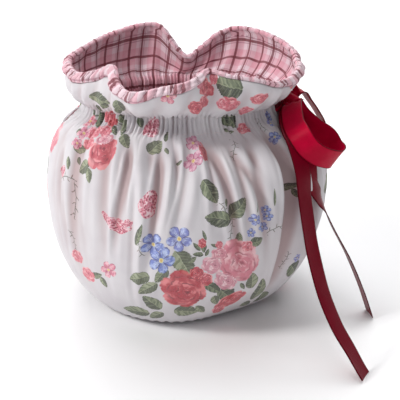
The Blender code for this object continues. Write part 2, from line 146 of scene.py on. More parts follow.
RIM = (
    Rim(8, 0.0722, 0.1540, 0.0065, 0.0010),
    Rim(23, 0.0748, 0.1590, 0.0065, 0.0060),
    Rim(41, 0.0735, 0.1646, 0.0065, 0.0085),
    Rim(60, 0.0700, 0.1675, 0.0065, 0.0085),
    Rim(72, 0.0620, 0.1630, 0.0065, 0.0085),
    Rim(81, 0.0555, 0.1550, 0.0060, 0.0085),
    Rim(90, 0.0525, 0.1495, 0.0055, 0.0085),
    Rim(98, 0.0555, 0.1560, 0.0060, 0.0085),
    Rim(106, 0.0655, 0.1680, 0.0065, 0.0085),
    Rim(116, 0.0690, 0.1695, 0.0065, 0.0085),
    Rim(130, 0.0695, 0.1672, 0.0065, 0.0085),
    Rim(143, 0.0715, 0.1640, 0.0065, 0.0085),
    Rim(157, 0.0735, 0.1600, 0.0065, 0.0085),
    Rim(176, 0.0752, 0.1565, 0.0070, 0.0085),
    Rim(190, 0.0725, 0.1540, 0.0072, 0.0085),
    Rim(204, 0.0700, 0.1540, 0.0078, 0.0085),
    Rim(216, 0.0650, 0.1575, 0.0080, 0.0085),
    Rim(227, 0.0625, 0.1620, 0.0080, 0.0085),
    Rim(237, 0.0720, 0.1565, 0.0080, 0.0085),
    Rim(248, 0.0810, 0.1530, 0.0076, 0.0085),
    Rim(262, 0.0787, 0.1565, 0.0060, 0.0085),
    Rim(273, 0.0735, 0.1590, 0.0060, 0.0085),
    Rim(283, 0.0580, 0.1620, 0.0035, 0.0085),
    Rim(293, 0.0640, 0.1592, 0.0025, 0.0085),
    Rim(305, 0.0705, 0.1565, 0.0025, 0.0080),
    Rim(318, 0.0710, 0.1525, 0.0040, 0.0065),
    Rim(336, 0.0705, 0.1525, 0.0070, 0.0020),
    Rim(352, 0.0705, 0.1540, 0.0072, 0.0000),
)

FOLDS = (
    Fold(11, 0.0022, 4.5, 0.055),
    Fold(24, 0.0030, 4.0, 0.075),
    Fold(39, 0.0034, 4.5, 0.090),
    Fold(54, 0.0026, 4.0, 0.060),
    Fold(68, 0.0036, 4.5, 0.085),
    Fold(84, 0.0030, 4.0, 0.065),
    Fold(99, 0.0034, 4.5, 0.090),
    Fold(113, 0.0026, 4.0, 0.060),
    Fold(128, 0.0034, 4.5, 0.080),
    Fold(145, 0.0028, 4.5, 0.060),
    Fold(163, 0.0018, 5.0, 0.045),
    Fold(204, 0.0016, 5.5, 0.060),
    Fold(222, 0.0022, 4.5, 0.070),
    Fold(238, 0.0030, 4.0, 0.100),
    Fold(247, 0.0036, 3.4, 0.110),
    Fold(258, 0.0032, 3.4, 0.080),
    Fold(267, 0.0026, 3.0, 0.060),
    Fold(276, 0.0020, 3.0, 0.040),
    Fold(284, 0.0030, 3.2, 0.070),
    Fold(291, 0.0032, 3.2, 0.075),
    Fold(300, 0.0026, 3.6, 0.060),
    Fold(314, 0.0044, 4.4, 0.105),
    Fold(331, 0.0030, 4.4, 0.075),
    Fold(346, 0.0020, 4.5, 0.050),
)

SPOUT_SLOT = Slot(180, 7.6, 12.6, 0.0135)
HANDLE_SLOT = Slot(360, 6.2, 12.05, 0.0135)

NEAR_LOOP = (
    Turn(0.0670, -0.0090, 0.1301, 1.00, 0.00, 0.05, 0.008),
    Turn(0.0674, -0.0147, 0.1318, 0.95, 0.00, 0.30, 0.012),
    Turn(0.0651, -0.0211, 0.1318, 0.90, 0.00, 0.42, 0.0135),
    Turn(0.0644, -0.0306, 0.1298, 0.86, 0.03, 0.50, 0.0135),
    Turn(0.0647, -0.0412, 0.1252, 0.84, 0.05, 0.54, 0.0135),
    Turn(0.0671, -0.0507, 0.1217, 0.80, 0.02, 0.60, 0.0135),
    Turn(0.0718, -0.0546, 0.1150, 0.72, -0.05, 0.69, 0.0135),
    Turn(0.0772, -0.0542, 0.1102, 0.62, -0.10, 0.78, 0.0135),
    Turn(0.0837, -0.0511, 0.1066, 0.56, -0.10, 0.80, 0.0135),
    Turn(0.0906, -0.0440, 0.1038, 0.55, -0.05, 0.80, 0.0135),
    Turn(0.0932, -0.0365, 0.1050, 0.55, -0.05, 0.80, 0.0135),
    Turn(0.0906, -0.0310, 0.1076, 0.55, -0.10, 0.80, 0.0135),
    Turn(0.0870, -0.0272, 0.1130, 0.55, -0.15, 0.80, 0.0135),
    Turn(0.0801, -0.0217, 0.1167, 0.55, -0.15, 0.80, 0.0135),
    Turn(0.0728, -0.0132, 0.1230, 0.62, -0.10, 0.74, 0.012),
    Turn(0.0690, -0.0080, 0.1318, 0.90, 0.00, 0.36, 0.0075),
)
FAR_LOOP = (
    Turn(0.0662, 0.0053, 0.1310, 1.00, 0.00, -0.10, 0.008),
    Turn(0.0690, 0.0102, 0.1344, 0.40, 0.60, 0.50, 0.012),
    Turn(0.0745, 0.0128, 0.1336, -0.28, 0.94, 0.05, 0.0135),
    Turn(0.0795, 0.0142, 0.1270, -0.22, 0.94, -0.10, 0.0135),
    Turn(0.0847, 0.0147, 0.1198, -0.18, 0.95, -0.15, 0.0135),
    Turn(0.0890, 0.0147, 0.1126, -0.15, 0.95, -0.20, 0.0135),
    Turn(0.0898, 0.0147, 0.1078, -0.15, 0.95, -0.20, 0.0135),
    Turn(0.0862, 0.0147, 0.1076, -0.20, 0.95, -0.15, 0.0135),
    Turn(0.0812, 0.0148, 0.1142, -0.22, 0.94, -0.10, 0.0135),
    Turn(0.0750, 0.0130, 0.1224, -0.10, 0.94, 0.00, 0.013),
    Turn(0.0680, 0.0100, 0.1271, 0.80, 0.40, -0.20, 0.01),
    Turn(0.0666, 0.0053, 0.1270, 1.00, 0.00, -0.10, 0.008),
)
NEAR_TAIL = (
    Turn(0.0650, -0.0083, 0.1260, 0.80, 0.00, -0.60, 0.008),
    Turn(0.0648, -0.0135, 0.1260, 0.82, 0.05, -0.56, 0.011),
    Turn(0.0636, -0.0208, 0.1249, 0.88, 0.12, -0.45, 0.0135),
    Turn(0.0626, -0.0273, 0.1232, 0.90, 0.17, -0.38, 0.0135),
    Turn(0.0634, -0.0422, 0.1192, 0.91, 0.33, -0.24, 0.0135),
    Turn(0.0659, -0.0503, 0.1137, 0.84, 0.48, -0.25, 0.0135),
    Turn(0.0691, -0.0598, 0.1010, 0.73, 0.64, -0.22, 0.0135),
    Turn(0.0702, -0.0650, 0.0875, 0.62, 0.78, -0.10, 0.0135),
    Turn(0.0722, -0.0770, 0.0699, 0.54, 0.84, 0.00, 0.0135),
    Turn(0.0746, -0.0855, 0.0570, 0.54, 0.84, 0.00, 0.0135),
    Turn(0.0795, -0.0970, 0.0398, 0.50, 0.86, 0.00, 0.0135),
    Turn(0.0862, -0.1080, 0.0249, 0.45, 0.89, 0.00, 0.0135),
    Turn(0.0934, -0.1155, 0.0136, 0.40, 0.92, 0.00, 0.0135),
    Turn(0.0986, -0.1202, 0.0050, 0.37, 0.93, 0.00, 0.0135),
    Turn(0.1014, -0.1220, 0.0008, 0.36, 0.93, 0.00, 0.0135),
)
FAR_TAIL = (
    Turn(0.0654, -0.0074, 0.1238, 0.83, 0.00, -0.55, 0.008),
    Turn(0.0655, -0.0131, 0.1230, 0.83, 0.15, -0.50, 0.01),
    Turn(0.0667, -0.0191, 0.1213, 0.82, 0.40, -0.35, 0.013),
    Turn(0.0693, -0.0287, 0.1180, 0.83, 0.45, -0.27, 0.0135),
    Turn(0.0723, -0.0404, 0.1112, 0.75, 0.55, -0.38, 0.0135),
    Turn(0.0743, -0.0485, 0.1025, 0.68, 0.62, -0.35, 0.0135),
    Turn(0.0758, -0.0528, 0.0921, 0.60, 0.72, -0.25, 0.0135),
    Turn(0.0802, -0.0512, 0.0836, 0.40, 0.88, -0.05, 0.0135),
    Turn(0.0842, -0.0481, 0.0750, 0.05, 0.99, 0.00, 0.0135),
    Turn(0.0906, -0.0465, 0.0603, -0.10, 0.99, 0.00, 0.0135),
    Turn(0.1018, -0.0455, 0.0394, -0.15, 0.99, 0.00, 0.0135),
    Turn(0.1110, -0.0450, 0.0186, -0.15, 0.99, 0.00, 0.0135),
    Turn(0.1174, -0.0450, 0.0005, -0.15, 0.99, 0.00, 0.0135),
)


# ---- the print's layout


class Side(Enum):
    """The side of the cosy that a panel covers."""

    FRONT = "front"
    BACK = "back"


class Motif(Enum):
    """A kind of printed motif, by the name of the attribute that holds the place inside it."""

    ROSE = "rose"
    BLOSSOM = "blossom"
    LEAF = "leaf"
    DOTTED = "dotted"
    TWIG = "twig"

    @property
    def slimness(self) -> float:
        """How many times longer it is than wide."""
        return {Motif.LEAF: 2.0, Motif.TWIG: 3.0}.get(self, 1.0)


class Placement(NamedTuple):
    """A motif on the flat cloth, in millimetres from the panel's middle and from the hem."""

    motif: Motif
    across: float
    up: float
    size: float
    slim: float
    turn: float
    tint: float

    def inside(self, flat: Array) -> tuple[Array, Array]:
        """Places on the flat cloth, in metres, as places inside the motif, where 1 is its size.

        Args:
            flat: Places on the flat cloth, in metres.

        Returns:
            Places along and across the motif.
        """
        x, y = flat[..., 0] * 1000 - self.across, flat[..., 1] * 1000 - self.up
        angle = math.radians(self.turn)
        cos, sin = math.cos(angle) / self.size, math.sin(angle) / self.size
        return x * cos + y * sin, (y * cos - x * sin) / self.slim


# Each row is a motif's across, up, size, slimness, turn and tint, in the order of Placement's fields.
# Where two of one kind meet, each face of the cloth takes the nearest.
PRINT_ROWS: dict[Motif, tuple[tuple[float, ...], ...]] = {
    Motif.ROSE: (
        (0, 59, 17.2, 0.90, -64, 1.0), (7, 71, 6.2, 0.79, 105, 0.95), (13, 67, 5.7, 0.76, -70, 0.8),
        (32, 77, 18.4, 0.73, -55, 0.28), (16, 77, 7.8, 0.83, -35, 0.0), (20, 84, 6.3, 0.70, -20, 0.15),
        (26, 64, 10.5, 0.60, -44, 0.0), (36, 86, 5.4, 0.82, -63, 0.55), (9, 92, 3.4, 0.75, 96, 0.9),
        (19, 90, 2.9, 0.83, 131, 0.6), (34, 44, 12.6, 0.69, 34, 0.95), (29, 34, 7.1, 0.79, -51, 0.8),
        (-55, 143, 15.8, 0.65, 64, 0.8), (-57, 152, 8.7, 0.74, 52, 0.05), (-61, 160, 7.1, 0.61, -16, 0.4),
        (-65, 171, 7.6, 0.72, 9, 0.7), (-60, 167, 5.7, 0.59, 3, 1.0), (-80, 67, 7.6, 0.68, 16, 0.4),
        (-72, 56, 8.6, 0.74, 26, 0.5), (11, 205, 5.2, 0.50, -48, 0.3), (18, 200, 9.0, 0.55, -29, 0.9),
        (11, 189, 7.6, 0.69, -52, 0.85), (25, 205, 4.3, 0.77, -105, 0.6), (17, 192, 6.7, 0.63, -42, 0.8),
        (39, 190, 9.5, 0.66, -35, 0.6), (56, 181, 7.6, 0.88, -47, 0.6), (33, 191, 5.5, 0.85, 11, 0.5),
        (60, 196, 9.0, 0.53, 11, 0.75), (56, 163, 6.7, 0.63, 7, 0.6), (15, 148, 8.5, 0.36, -94, 0.8),
        (-70, 157, 7.6, 0.80, -17, 0.45), (-70, 147, 7.1, 0.83, -10, 0.6),
    ),
    Motif.BLOSSOM: (
        (-19, 90, 8.1, 0.88, 62, 0.0), (-4, 95, 8.3, 0.92, -91, 0.05), (-14, 81, 9.8, 0.83, 70, 0.0),
        (10, 155, 6.8, 0.83, -84, 0.8), (7, 141, 8.8, 0.63, 51, 0.8), (-86, 164, 7.1, 0.67, 5, 1.0),
        (-81, 155, 7.5, 0.89, 63, 0.9), (-82, 144, 5.3, 0.87, 61, 0.9), (-10, 203, 6.6, 0.84, -64, 1.0),
        (-50, 67, 8.0, 0.74, 43, 0.95), (48, 107, 3.2, 0.91, -68, 0.0), (40, 103, 4.4, 0.82, -36, 0.05),
        (49, 103, 3.4, 0.89, -65, 0.0), (46, 97, 4.6, 0.68, -30, 0.0), (38, 95, 3.3, 0.85, -58, 0.05),
        (91, 167, 5.7, 0.67, 4, 0.05), (86, 162, 4.0, 0.75, 9, 0.05), (76, 152, 5.7, 0.80, 27, 0.0),
        (81, 67, 4.4, 0.71, -32, 0.1),
    ),
    Motif.LEAF: (
        (-73, 189, 12.9, 0.72, -12, 0.55), (-45, 191, 7.3, 1.44, -80, 0.9), (-52, 171, 4.5, 1.40, -58, 0.8),
        (-47, 165, 5.2, 1.22, -61, 0.6), (-45, 162, 3.5, 1.13, -78, 1.0), (-40, 155, 6.2, 1.34, -57, 0.5),
        (-75, 178, 5.0, 1.70, 35, 1.0), (-87, 169, 4.5, 1.07, -48, 1.0), (-66, 184, 4.6, 1.53, -14, 1.0),
        (-54, 162, 4.6, 0.85, -30, 1.0), (-48, 185, 5.5, 1.13, -104, 1.0), (-86, 154, 4.6, 1.07, -29, 0.7),
        (-76, 167, 6.3, 1.37, -50, 1.0), (-77, 141, 6.9, 1.04, 11, 0.3), (-77, 132, 3.2, 1.50, -44, 1.0),
        (-69, 129, 6.7, 1.33, -145, 0.4), (-63, 125, 4.6, 0.96, -82, 0.2), (-85, 128, 4.3, 0.81, -80, 0.4),
        (-17, 152, 7.2, 1.41, 48, 0.5), (-9, 160, 4.2, 0.72, 85, 1.0), (-9, 148, 2.8, 1.04, -75, 0.7),
        (-2, 140, 2.1, 1.11, 16, 0.9), (-33, 169, 3.6, 1.49, -56, 1.0), (-62, 59, 5.5, 0.87, 23, 0.6),
        (-57, 55, 4.4, 1.19, -69, 0.4), (-28, 66, 7.2, 1.28, -159, 0.35), (-14, 70, 6.5, 1.07, -125, 0.5),
        (-23, 59, 8.2, 0.94, -143, 0.4), (-21, 46, 8.2, 1.40, 132, 0.65), (-36, 33, 11.5, 1.02, -176, 0.5),
        (-20, 31, 7.8, 1.07, -139, 0.4), (-1, 79, 10.2, 1.16, -61, 0.4), (3, 81, 3.8, 1.11, 39, 0.7),
        (3, 38, 9.2, 1.45, -10, 0.5), (13, 39, 6.0, 1.06, -50, 0.5), (18, 60, 7.5, 0.87, -39, 1.0),
        (29, 52, 8.7, 1.27, -45, 1.0), (39, 57, 3.7, 0.72, -53, 0.9), (45, 60, 6.7, 1.26, 103, 0.3),
        (22, 48, 5.5, 1.07, -66, 0.5), (6, 90, 3.4, 0.73, 129, 0.9), (10, 89, 3.1, 1.05, -87, 0.9),
        (10, 97, 3.3, 0.54, 110, 1.0), (7, 85, 3.1, 1.02, 173, 1.0), (12, 86, 2.4, 0.99, 71, 1.0),
        (16, 90, 2.5, 0.74, 152, 0.9), (31, 92, 4.1, 0.96, 90, 0.5), (42, 89, 4.3, 1.47, 15, 0.8),
        (56, 48, 11.9, 0.75, 103, 0.6), (72, 33, 8.3, 1.42, 127, 0.8), (57, 31, 7.3, 1.06, -34, 0.8),
        (84, 57, 9.2, 1.26, -40, 1.0), (14, 122, 7.6, 1.19, -63, 0.75), (30, 111, 7.4, 1.26, 48, 0.7),
        (18, 106, 8.1, 1.16, 168, 0.85), (23, 115, 2.5, 0.79, -94, 0.6), (70, 117, 5.8, 0.85, -2, 0.9),
        (73, 112, 3.2, 0.95, -71, 1.0), (36, 202, 9.4, 1.63, 177, 0.85), (41, 170, 4.9, 1.51, -48, 1.0),
        (47, 169, 5.5, 1.69, -65, 1.0), (41, 163, 4.2, 0.63, -23, 0.4), (-27, 96, 7.2, 0.52, 71, 0.8),
        (53, 114, 5.0, 0.32, 84, 0.5), (42, 110, 3.1, 0.43, 71, 0.5),
    ),
    Motif.DOTTED: (
        (-22, 114, 9.9, 0.68, 77, 0.2), (-22, 166, 8.8, 1.08, -118, 0.5), (-41, 99, 10.6, 0.64, -11, 0.9),
        (-50, 103, 3.8, 0.85, -49, 0.5), (-35, 101, 4.9, 0.69, 36, 0.5), (-92, 121, 6.6, 0.82, -157, 0.3),
    ),
    Motif.TWIG: (
        (-78, 106, 13.1, 1.00, -85, 0.3), (-82, 78, 7.6, 1.00, -64, 0.4), (22, 110, 6.5, 1.00, -52, 0.5),
        (26, 99, 6.8, 1.00, -87, 0.5), (56, 95, 7.1, 1.00, 17, 0.3), (37, 148, 8.1, 1.00, -107, 0.5),
        (71, 67, 6.6, 1.00, 83, 0.6), (-26, 88, 6.0, 1.00, -69, 0.6), (75, 163, 5.1, 1.00, -80, 0.6),
        (-85, 118, 8.8, 1.00, 9, 0.3), (-66, 169, 18.1, 1.00, -3, 0.3),
    ),
}
PRINT = tuple(Placement(motif, *row) for motif, rows in PRINT_ROWS.items() for row in rows)


class Repeat(NamedTuple):
    """A copy of the print: its shift across and up, and the stretch across that it fills."""

    across: float
    up: float
    start: float
    end: float


REPEAT_ACROSS, REPEAT_UP = 158, 212
LOWEST_MOTIF, HIGHEST_MOTIF = -20, 230
OFF_PRINT = 9.0  # a place beyond any motif
FRONT_REPEATS = (
    Repeat(0, 0, -125, 100),
    Repeat(REPEAT_ACROSS, 70, 100, 165),
    Repeat(REPEAT_ACROSS, 70 - REPEAT_UP, 100, 165),
    Repeat(-REPEAT_ACROSS, 64, -165, -125),
    Repeat(-REPEAT_ACROSS, 64 - REPEAT_UP, -165, -125),
)
BACK_REPEATS = (
    Repeat(REPEAT_ACROSS / 2, 0, 0, 165),
    Repeat(-REPEAT_ACROSS / 2, 64, -165, 0),
    Repeat(-REPEAT_ACROSS / 2, 64 - REPEAT_UP, -165, 0),
)


def placements(side: Side, motif: Motif) -> list[Placement]:
    """The motifs of one kind that fall on a panel.

    Args:
        side: Which panel.
        motif: The kind.

    Returns:
        Their placements, with the cloth's repeats.
    """
    repeats = FRONT_REPEATS if side is Side.FRONT else BACK_REPEATS
    found = []
    for repeat in repeats:
        for row in PRINT:
            across, up = row.across + repeat.across, row.up + repeat.up
            on_panel = repeat.start < across < repeat.end and LOWEST_MOTIF < up < HIGHEST_MOTIF
            if row.motif is motif and on_panel:
                found.append(row._replace(across=across, up=up))
    return found


# ---- curves, noise and the form


def smooth_curve(places: Sequence[float], values: Sequence[float], at: Array) -> Array:
    """Reads a smooth curve through values at rising places.

    Args:
        places: The rising places of the values.
        values: One value for each place.
        at: The places to read.

    Returns:
        The curve's values, in the shape of at.
    """
    where, value = np.asarray(places, float), np.asarray(values, float)
    last = len(where) - 1
    before = np.maximum(np.arange(last + 1) - 1, 0)
    after = np.minimum(np.arange(last + 1) + 1, last)
    slope = (value[after] - value[before]) / (where[after] - where[before])
    k = np.clip(np.searchsorted(where, at, side="right") - 1, 0, last - 1)
    step = where[k + 1] - where[k]
    t = (at - where[k]) / step
    return (
        value[k] * (1 + 2 * t) * (1 - t) ** 2
        + slope[k] * step * t * (1 - t) ** 2
        + value[k + 1] * t * t * (3 - 2 * t)
        + slope[k + 1] * step * t * t * (t - 1)
    )


def smooth_step(low: float, high: float, at: Array) -> Array:
    """Rises smoothly from 0 at low to 1 at high."""
    t = np.clip((at - low) / (high - low), 0, 1)
    return t * t * (3 - 2 * t)


def soft_noise(seed: int, across: Array, up: Array) -> Array:
    """Reads smooth seeded noise, one cell to each unit.

    Args:
        seed: Picks the noise, so that each run gives the same.
        across: Where to read it, in cells.
        up: Where to read it the other way, in cells.

    Returns:
        Values from about -1 to 1.
    """
    cells = 64
    lattice = np.random.default_rng(seed).uniform(-1, 1, (cells, cells))
    across, up = np.broadcast_arrays(across, up)
    column, row = np.floor(across).astype(int), np.floor(up).astype(int)
    x, y = across - column, up - row
    x, y = x * x * (3 - 2 * x), y * y * (3 - 2 * y)
    corner = [
        lattice[(column + i) % cells, (row + j) % cells] for j in (0, 1) for i in (0, 1)
    ]
    low = corner[0] * (1 - x) + corner[1] * x
    high = corner[2] * (1 - x) + corner[3] * x
    return low * (1 - y) + high * y


def unit(vectors: Array) -> Array:
    """Each vector at length one."""
    return vectors / np.maximum(np.linalg.norm(vectors, axis=-1, keepdims=True), 1e-12)


def outwards(azimuth: Array) -> Array:
    """The level direction from the pot's axis at each azimuth."""
    angle = np.radians(azimuth)
    return np.stack((np.cos(angle), np.sin(angle), np.zeros_like(angle)), axis=-1)


def turn_between(first: float, second: Array) -> Array:
    """The turn from one azimuth to others, from -180 to 180 degrees."""
    return (second - first + 180) % 360 - 180


@dataclass(frozen=True)
class CosyForm:
    """The smooth form under the cloth: body sections, and a frill curving up to its rim.

    Sizes are as in the solids. A place counts sections from 0 at the hem's inner edge, and the
    frill is the last step, from NECK_TOP to RIM_PLACE.
    """

    frill_bulge: float = 0.0045
    flare_rise: float = 0.12
    shoulder_drop: float = 0.52
    tuck_azimuth: float = 303
    tuck_width: float = 26
    tuck_depth: float = 0.0075
    tuck_reach: float = 0.030
    slot_spread: float = 26
    seam_half_gap: float = 0.0002

    def section(self, field: int, place: Array) -> Array:
        """One field of the sections, read at places."""
        values = [section[field] for section in SECTIONS]
        return smooth_curve(range(len(SECTIONS)), values, np.minimum(place, NECK_TOP))

    def rim(self, azimuth: Array) -> Rim:
        """The rim at azimuths, from the table taken as a closed ring.

        Args:
            azimuth: Azimuths, of any turn.

        Returns:
            A Rim whose fields are arrays.
        """
        turned = (azimuth - RIM[0].azimuth) % 360 + RIM[0].azimuth
        ring = [rim._replace(azimuth=rim.azimuth - 360) for rim in RIM[-2:]]
        ring += [*RIM, *(rim._replace(azimuth=rim.azimuth + 360) for rim in RIM[:2])]
        places = [rim.azimuth for rim in ring]
        fields = (smooth_curve(places, [rim[k] for rim in ring], turned) for k in range(1, 5))
        return Rim(azimuth, *fields)

    def body_points(self, azimuth: Array, place: Array) -> Array:
        """Points of the body's smooth form.

        Args:
            azimuth: The azimuths of the points.
            place: Their places between sections.

        Returns:
            Points from the pot's axis.
        """
        height, half_width, half_depth, shift = (self.section(k, place) for k in range(4))
        height = np.where(place <= HEM_FOLD, 0.0, height)
        bell = np.exp(-((turn_between(self.tuck_azimuth, azimuth) / self.tuck_width) ** 2))
        low = np.clip(1 - height / self.tuck_reach, 0, 1)
        angle = np.radians(azimuth)
        x, y = shift + half_width * np.cos(angle), half_depth * np.sin(angle)
        point = np.stack((x, y, height + 0 * x), axis=-1)
        return point - outwards(azimuth) * (self.tuck_depth * bell * low)[..., None]

    def frill_corners(self, azimuth: Array) -> tuple[Array, Array, Array, Array]:
        """The four points that shape the frill's curve at each azimuth, from neck to rim.

        Args:
            azimuth: Angles round the pot's axis.

        Returns:
            Points at the neck, the flare, the shoulder and the rim.
        """
        out, up = outwards(azimuth), np.array((0.0, 0.0, 1.0))
        rim = self.rim(azimuth)
        neck = self.body_points(azimuth, np.full_like(azimuth, NECK_TOP, float))
        top = out * rim.radius[..., None] + up * rim.height[..., None]
        rise = (rim.height - neck[..., 2])[..., None]
        flare = neck + out * rim.flare[..., None] + up * self.flare_rise * rise
        shoulder = top + out * self.frill_bulge - up * self.shoulder_drop * rise
        return neck, flare, shoulder, top

    def points(self, azimuth: Array, place: Array) -> Array:
        """Points of the whole smooth form, at azimuths and places, from the pot's axis.

        Args:
            azimuth: Angles round the pot's axis.
            place: Places between sections.

        Returns:
            The points.
        """
        neck, flare, shoulder, top = self.frill_corners(azimuth)
        share = np.clip(place - NECK_TOP, 0, 1)[..., None]
        left = 1 - share
        frill = neck * left**3 + flare * (3 * share * left * left)
        frill += shoulder * (3 * share * share * left) + top * share**3
        body = self.body_points(azimuth, place)
        return np.where((place > NECK_TOP)[..., None], frill, body)

    def normals(self, azimuth: Array, place: Array) -> Array:
        """The way that the form faces, outwards, turning under at the hem.

        Args:
            azimuth: The azimuths to read.
            place: Their places between sections.

        Returns:
            Unit vectors.
        """
        turn, step, side_from = 0.5, 0.02, HEM_FOLD + 0.6
        side = np.maximum(place, side_from)
        along = self.points(azimuth + turn, side) - self.points(azimuth - turn, side)
        here = self.points(azimuth, side)
        above = self.points(azimuth, np.minimum(side + step, RIM_PLACE))
        up = unit(here - self.points(azimuth, side - step)) + unit(above - here)
        under = 1 - smooth_step(HEM_FOLD, side_from, place)[..., None]
        return unit(unit(np.cross(along, up)) * (1 - under) + np.array((0, 0, -1.0)) * under)

    def share_below_rim(self, azimuth: Array, length: Array) -> Array:
        """The place on the frill, as a share of its way, that lies a length below the rim."""
        shoulder, top = self.frill_corners(azimuth)[2:]
        return 1 - length / (3 * np.linalg.norm(top - shoulder, axis=-1))

    def slot_half_width(self, slot: Slot, place: Array) -> Array:
        """Half the opening between the panels at each place: the slot, or the closed seam."""
        share = np.clip((place - slot.lowest) / (slot.highest - slot.lowest), 0, 1)
        return self.seam_half_gap + slot.half_width * np.sin(math.pi * share) ** 0.8

    def panel_azimuth(self, share: Array, place: Array, side: Side) -> Array:
        """The azimuth of a panel's column, which gives way to the slots at both sides.

        Args:
            share: How far across the panel, from the spout side to the handle side.
            place: The place between sections.
            side: Which panel.

        Returns:
            Azimuths.
        """
        place = np.minimum(place, NECK_TOP)
        reach, turned = self.section(1, np.round(place)), share * 180
        spout = np.degrees(self.slot_half_width(SPOUT_SLOT, place) / reach)
        handle = np.degrees(self.slot_half_width(HANDLE_SLOT, place) / reach)
        turned = turned + spout * np.exp(-share * 180 / self.slot_spread)
        turned = turned - handle * np.exp(-(180 - share * 180) / self.slot_spread)
        return 180 + turned if side is Side.FRONT else 180 - turned


class Crease(NamedTuple):
    """A sharper fold that starts below the neck, leans round by its end and bows between.

    Its trough is steep within a width on one side and eases out over a far width on the other.
    """

    azimuth: float
    lean: float
    bow: float
    start: float
    reach: float
    depth: float
    width: float
    far_width: float


CREASES = (
    Crease(208, 5.0, -1.0, 0.010, 0.080, 0.0010, 2.0, 3.0),
    Crease(219, -2.0, 0.8, 0.004, 0.090, 0.0014, 1.6, 2.6),
    Crease(232, -3.5, 0.0, 0.006, 0.070, 0.0012, 1.3, 2.2),
    Crease(244, -2.5, 0.0, 0.003, 0.095, 0.0013, 1.3, 1.8),
    Crease(248.5, -8.0, -0.5, 0.003, 0.075, 0.0031, 1.2, 2.3),
    Crease(251, -3.5, 0.6, 0.014, 0.105, 0.0016, 1.2, 1.6),
    Crease(262.5, -9.0, -1.0, 0.002, 0.092, 0.0042, 1.4, 2.8),
    Crease(269.5, -9.0, -0.6, 0.003, 0.070, 0.0018, 1.3, 1.7),
    Crease(273.5, -10.0, -0.4, 0.002, 0.062, 0.0029, 1.2, 2.2),
    Crease(281, -1.0, -0.3, 0.002, 0.052, 0.0029, 1.3, 2.0),
    Crease(283.5, 9.0, -0.6, 0.002, 0.082, 0.0042, 1.8, 1.5),
    Crease(292, 2.5, -0.4, 0.004, 0.062, 0.0021, 1.4, 1.8),
    Crease(294, 10.0, 0.0, 0.008, 0.078, 0.0036, 1.6, 2.4),
    Crease(300, 1.5, -1.5, 0.004, 0.050, 0.0018, 1.5, 2.0),
    Crease(314, 2.0, -5.5, 0.002, 0.125, 0.0052, 1.5, 6.0),
    Crease(326, 5.0, -2.0, 0.004, 0.090, 0.0016, 1.8, 2.4),
    Crease(338, 3.0, 0.0, 0.004, 0.060, 0.0014, 1.6, 2.2),
    Crease(18, 4.0, 0.5, 0.004, 0.075, 0.0016, 1.4, 2.2),
    Crease(31, -6.0, 0.0, 0.003, 0.060, 0.0016, 1.4, 1.8),
    Crease(46, -3.0, 1.0, 0.003, 0.090, 0.0026, 1.5, 2.8),
    Crease(60, 8.0, -0.6, 0.003, 0.070, 0.0018, 1.8, 1.5),
    Crease(75, -2.0, 0.5, 0.004, 0.080, 0.0024, 1.4, 2.4),
    Crease(92, -9.0, -0.5, 0.003, 0.075, 0.0022, 1.4, 2.0),
    Crease(106, 6.0, 0.4, 0.003, 0.085, 0.0028, 1.5, 2.8),
    Crease(120, 3.0, 0.0, 0.004, 0.060, 0.0016, 1.4, 1.8),
    Crease(136, 6.0, -0.8, 0.003, 0.090, 0.0022, 1.5, 2.4),
    Crease(152, -4.0, 0.0, 0.006, 0.070, 0.0014, 1.8, 2.2),
)


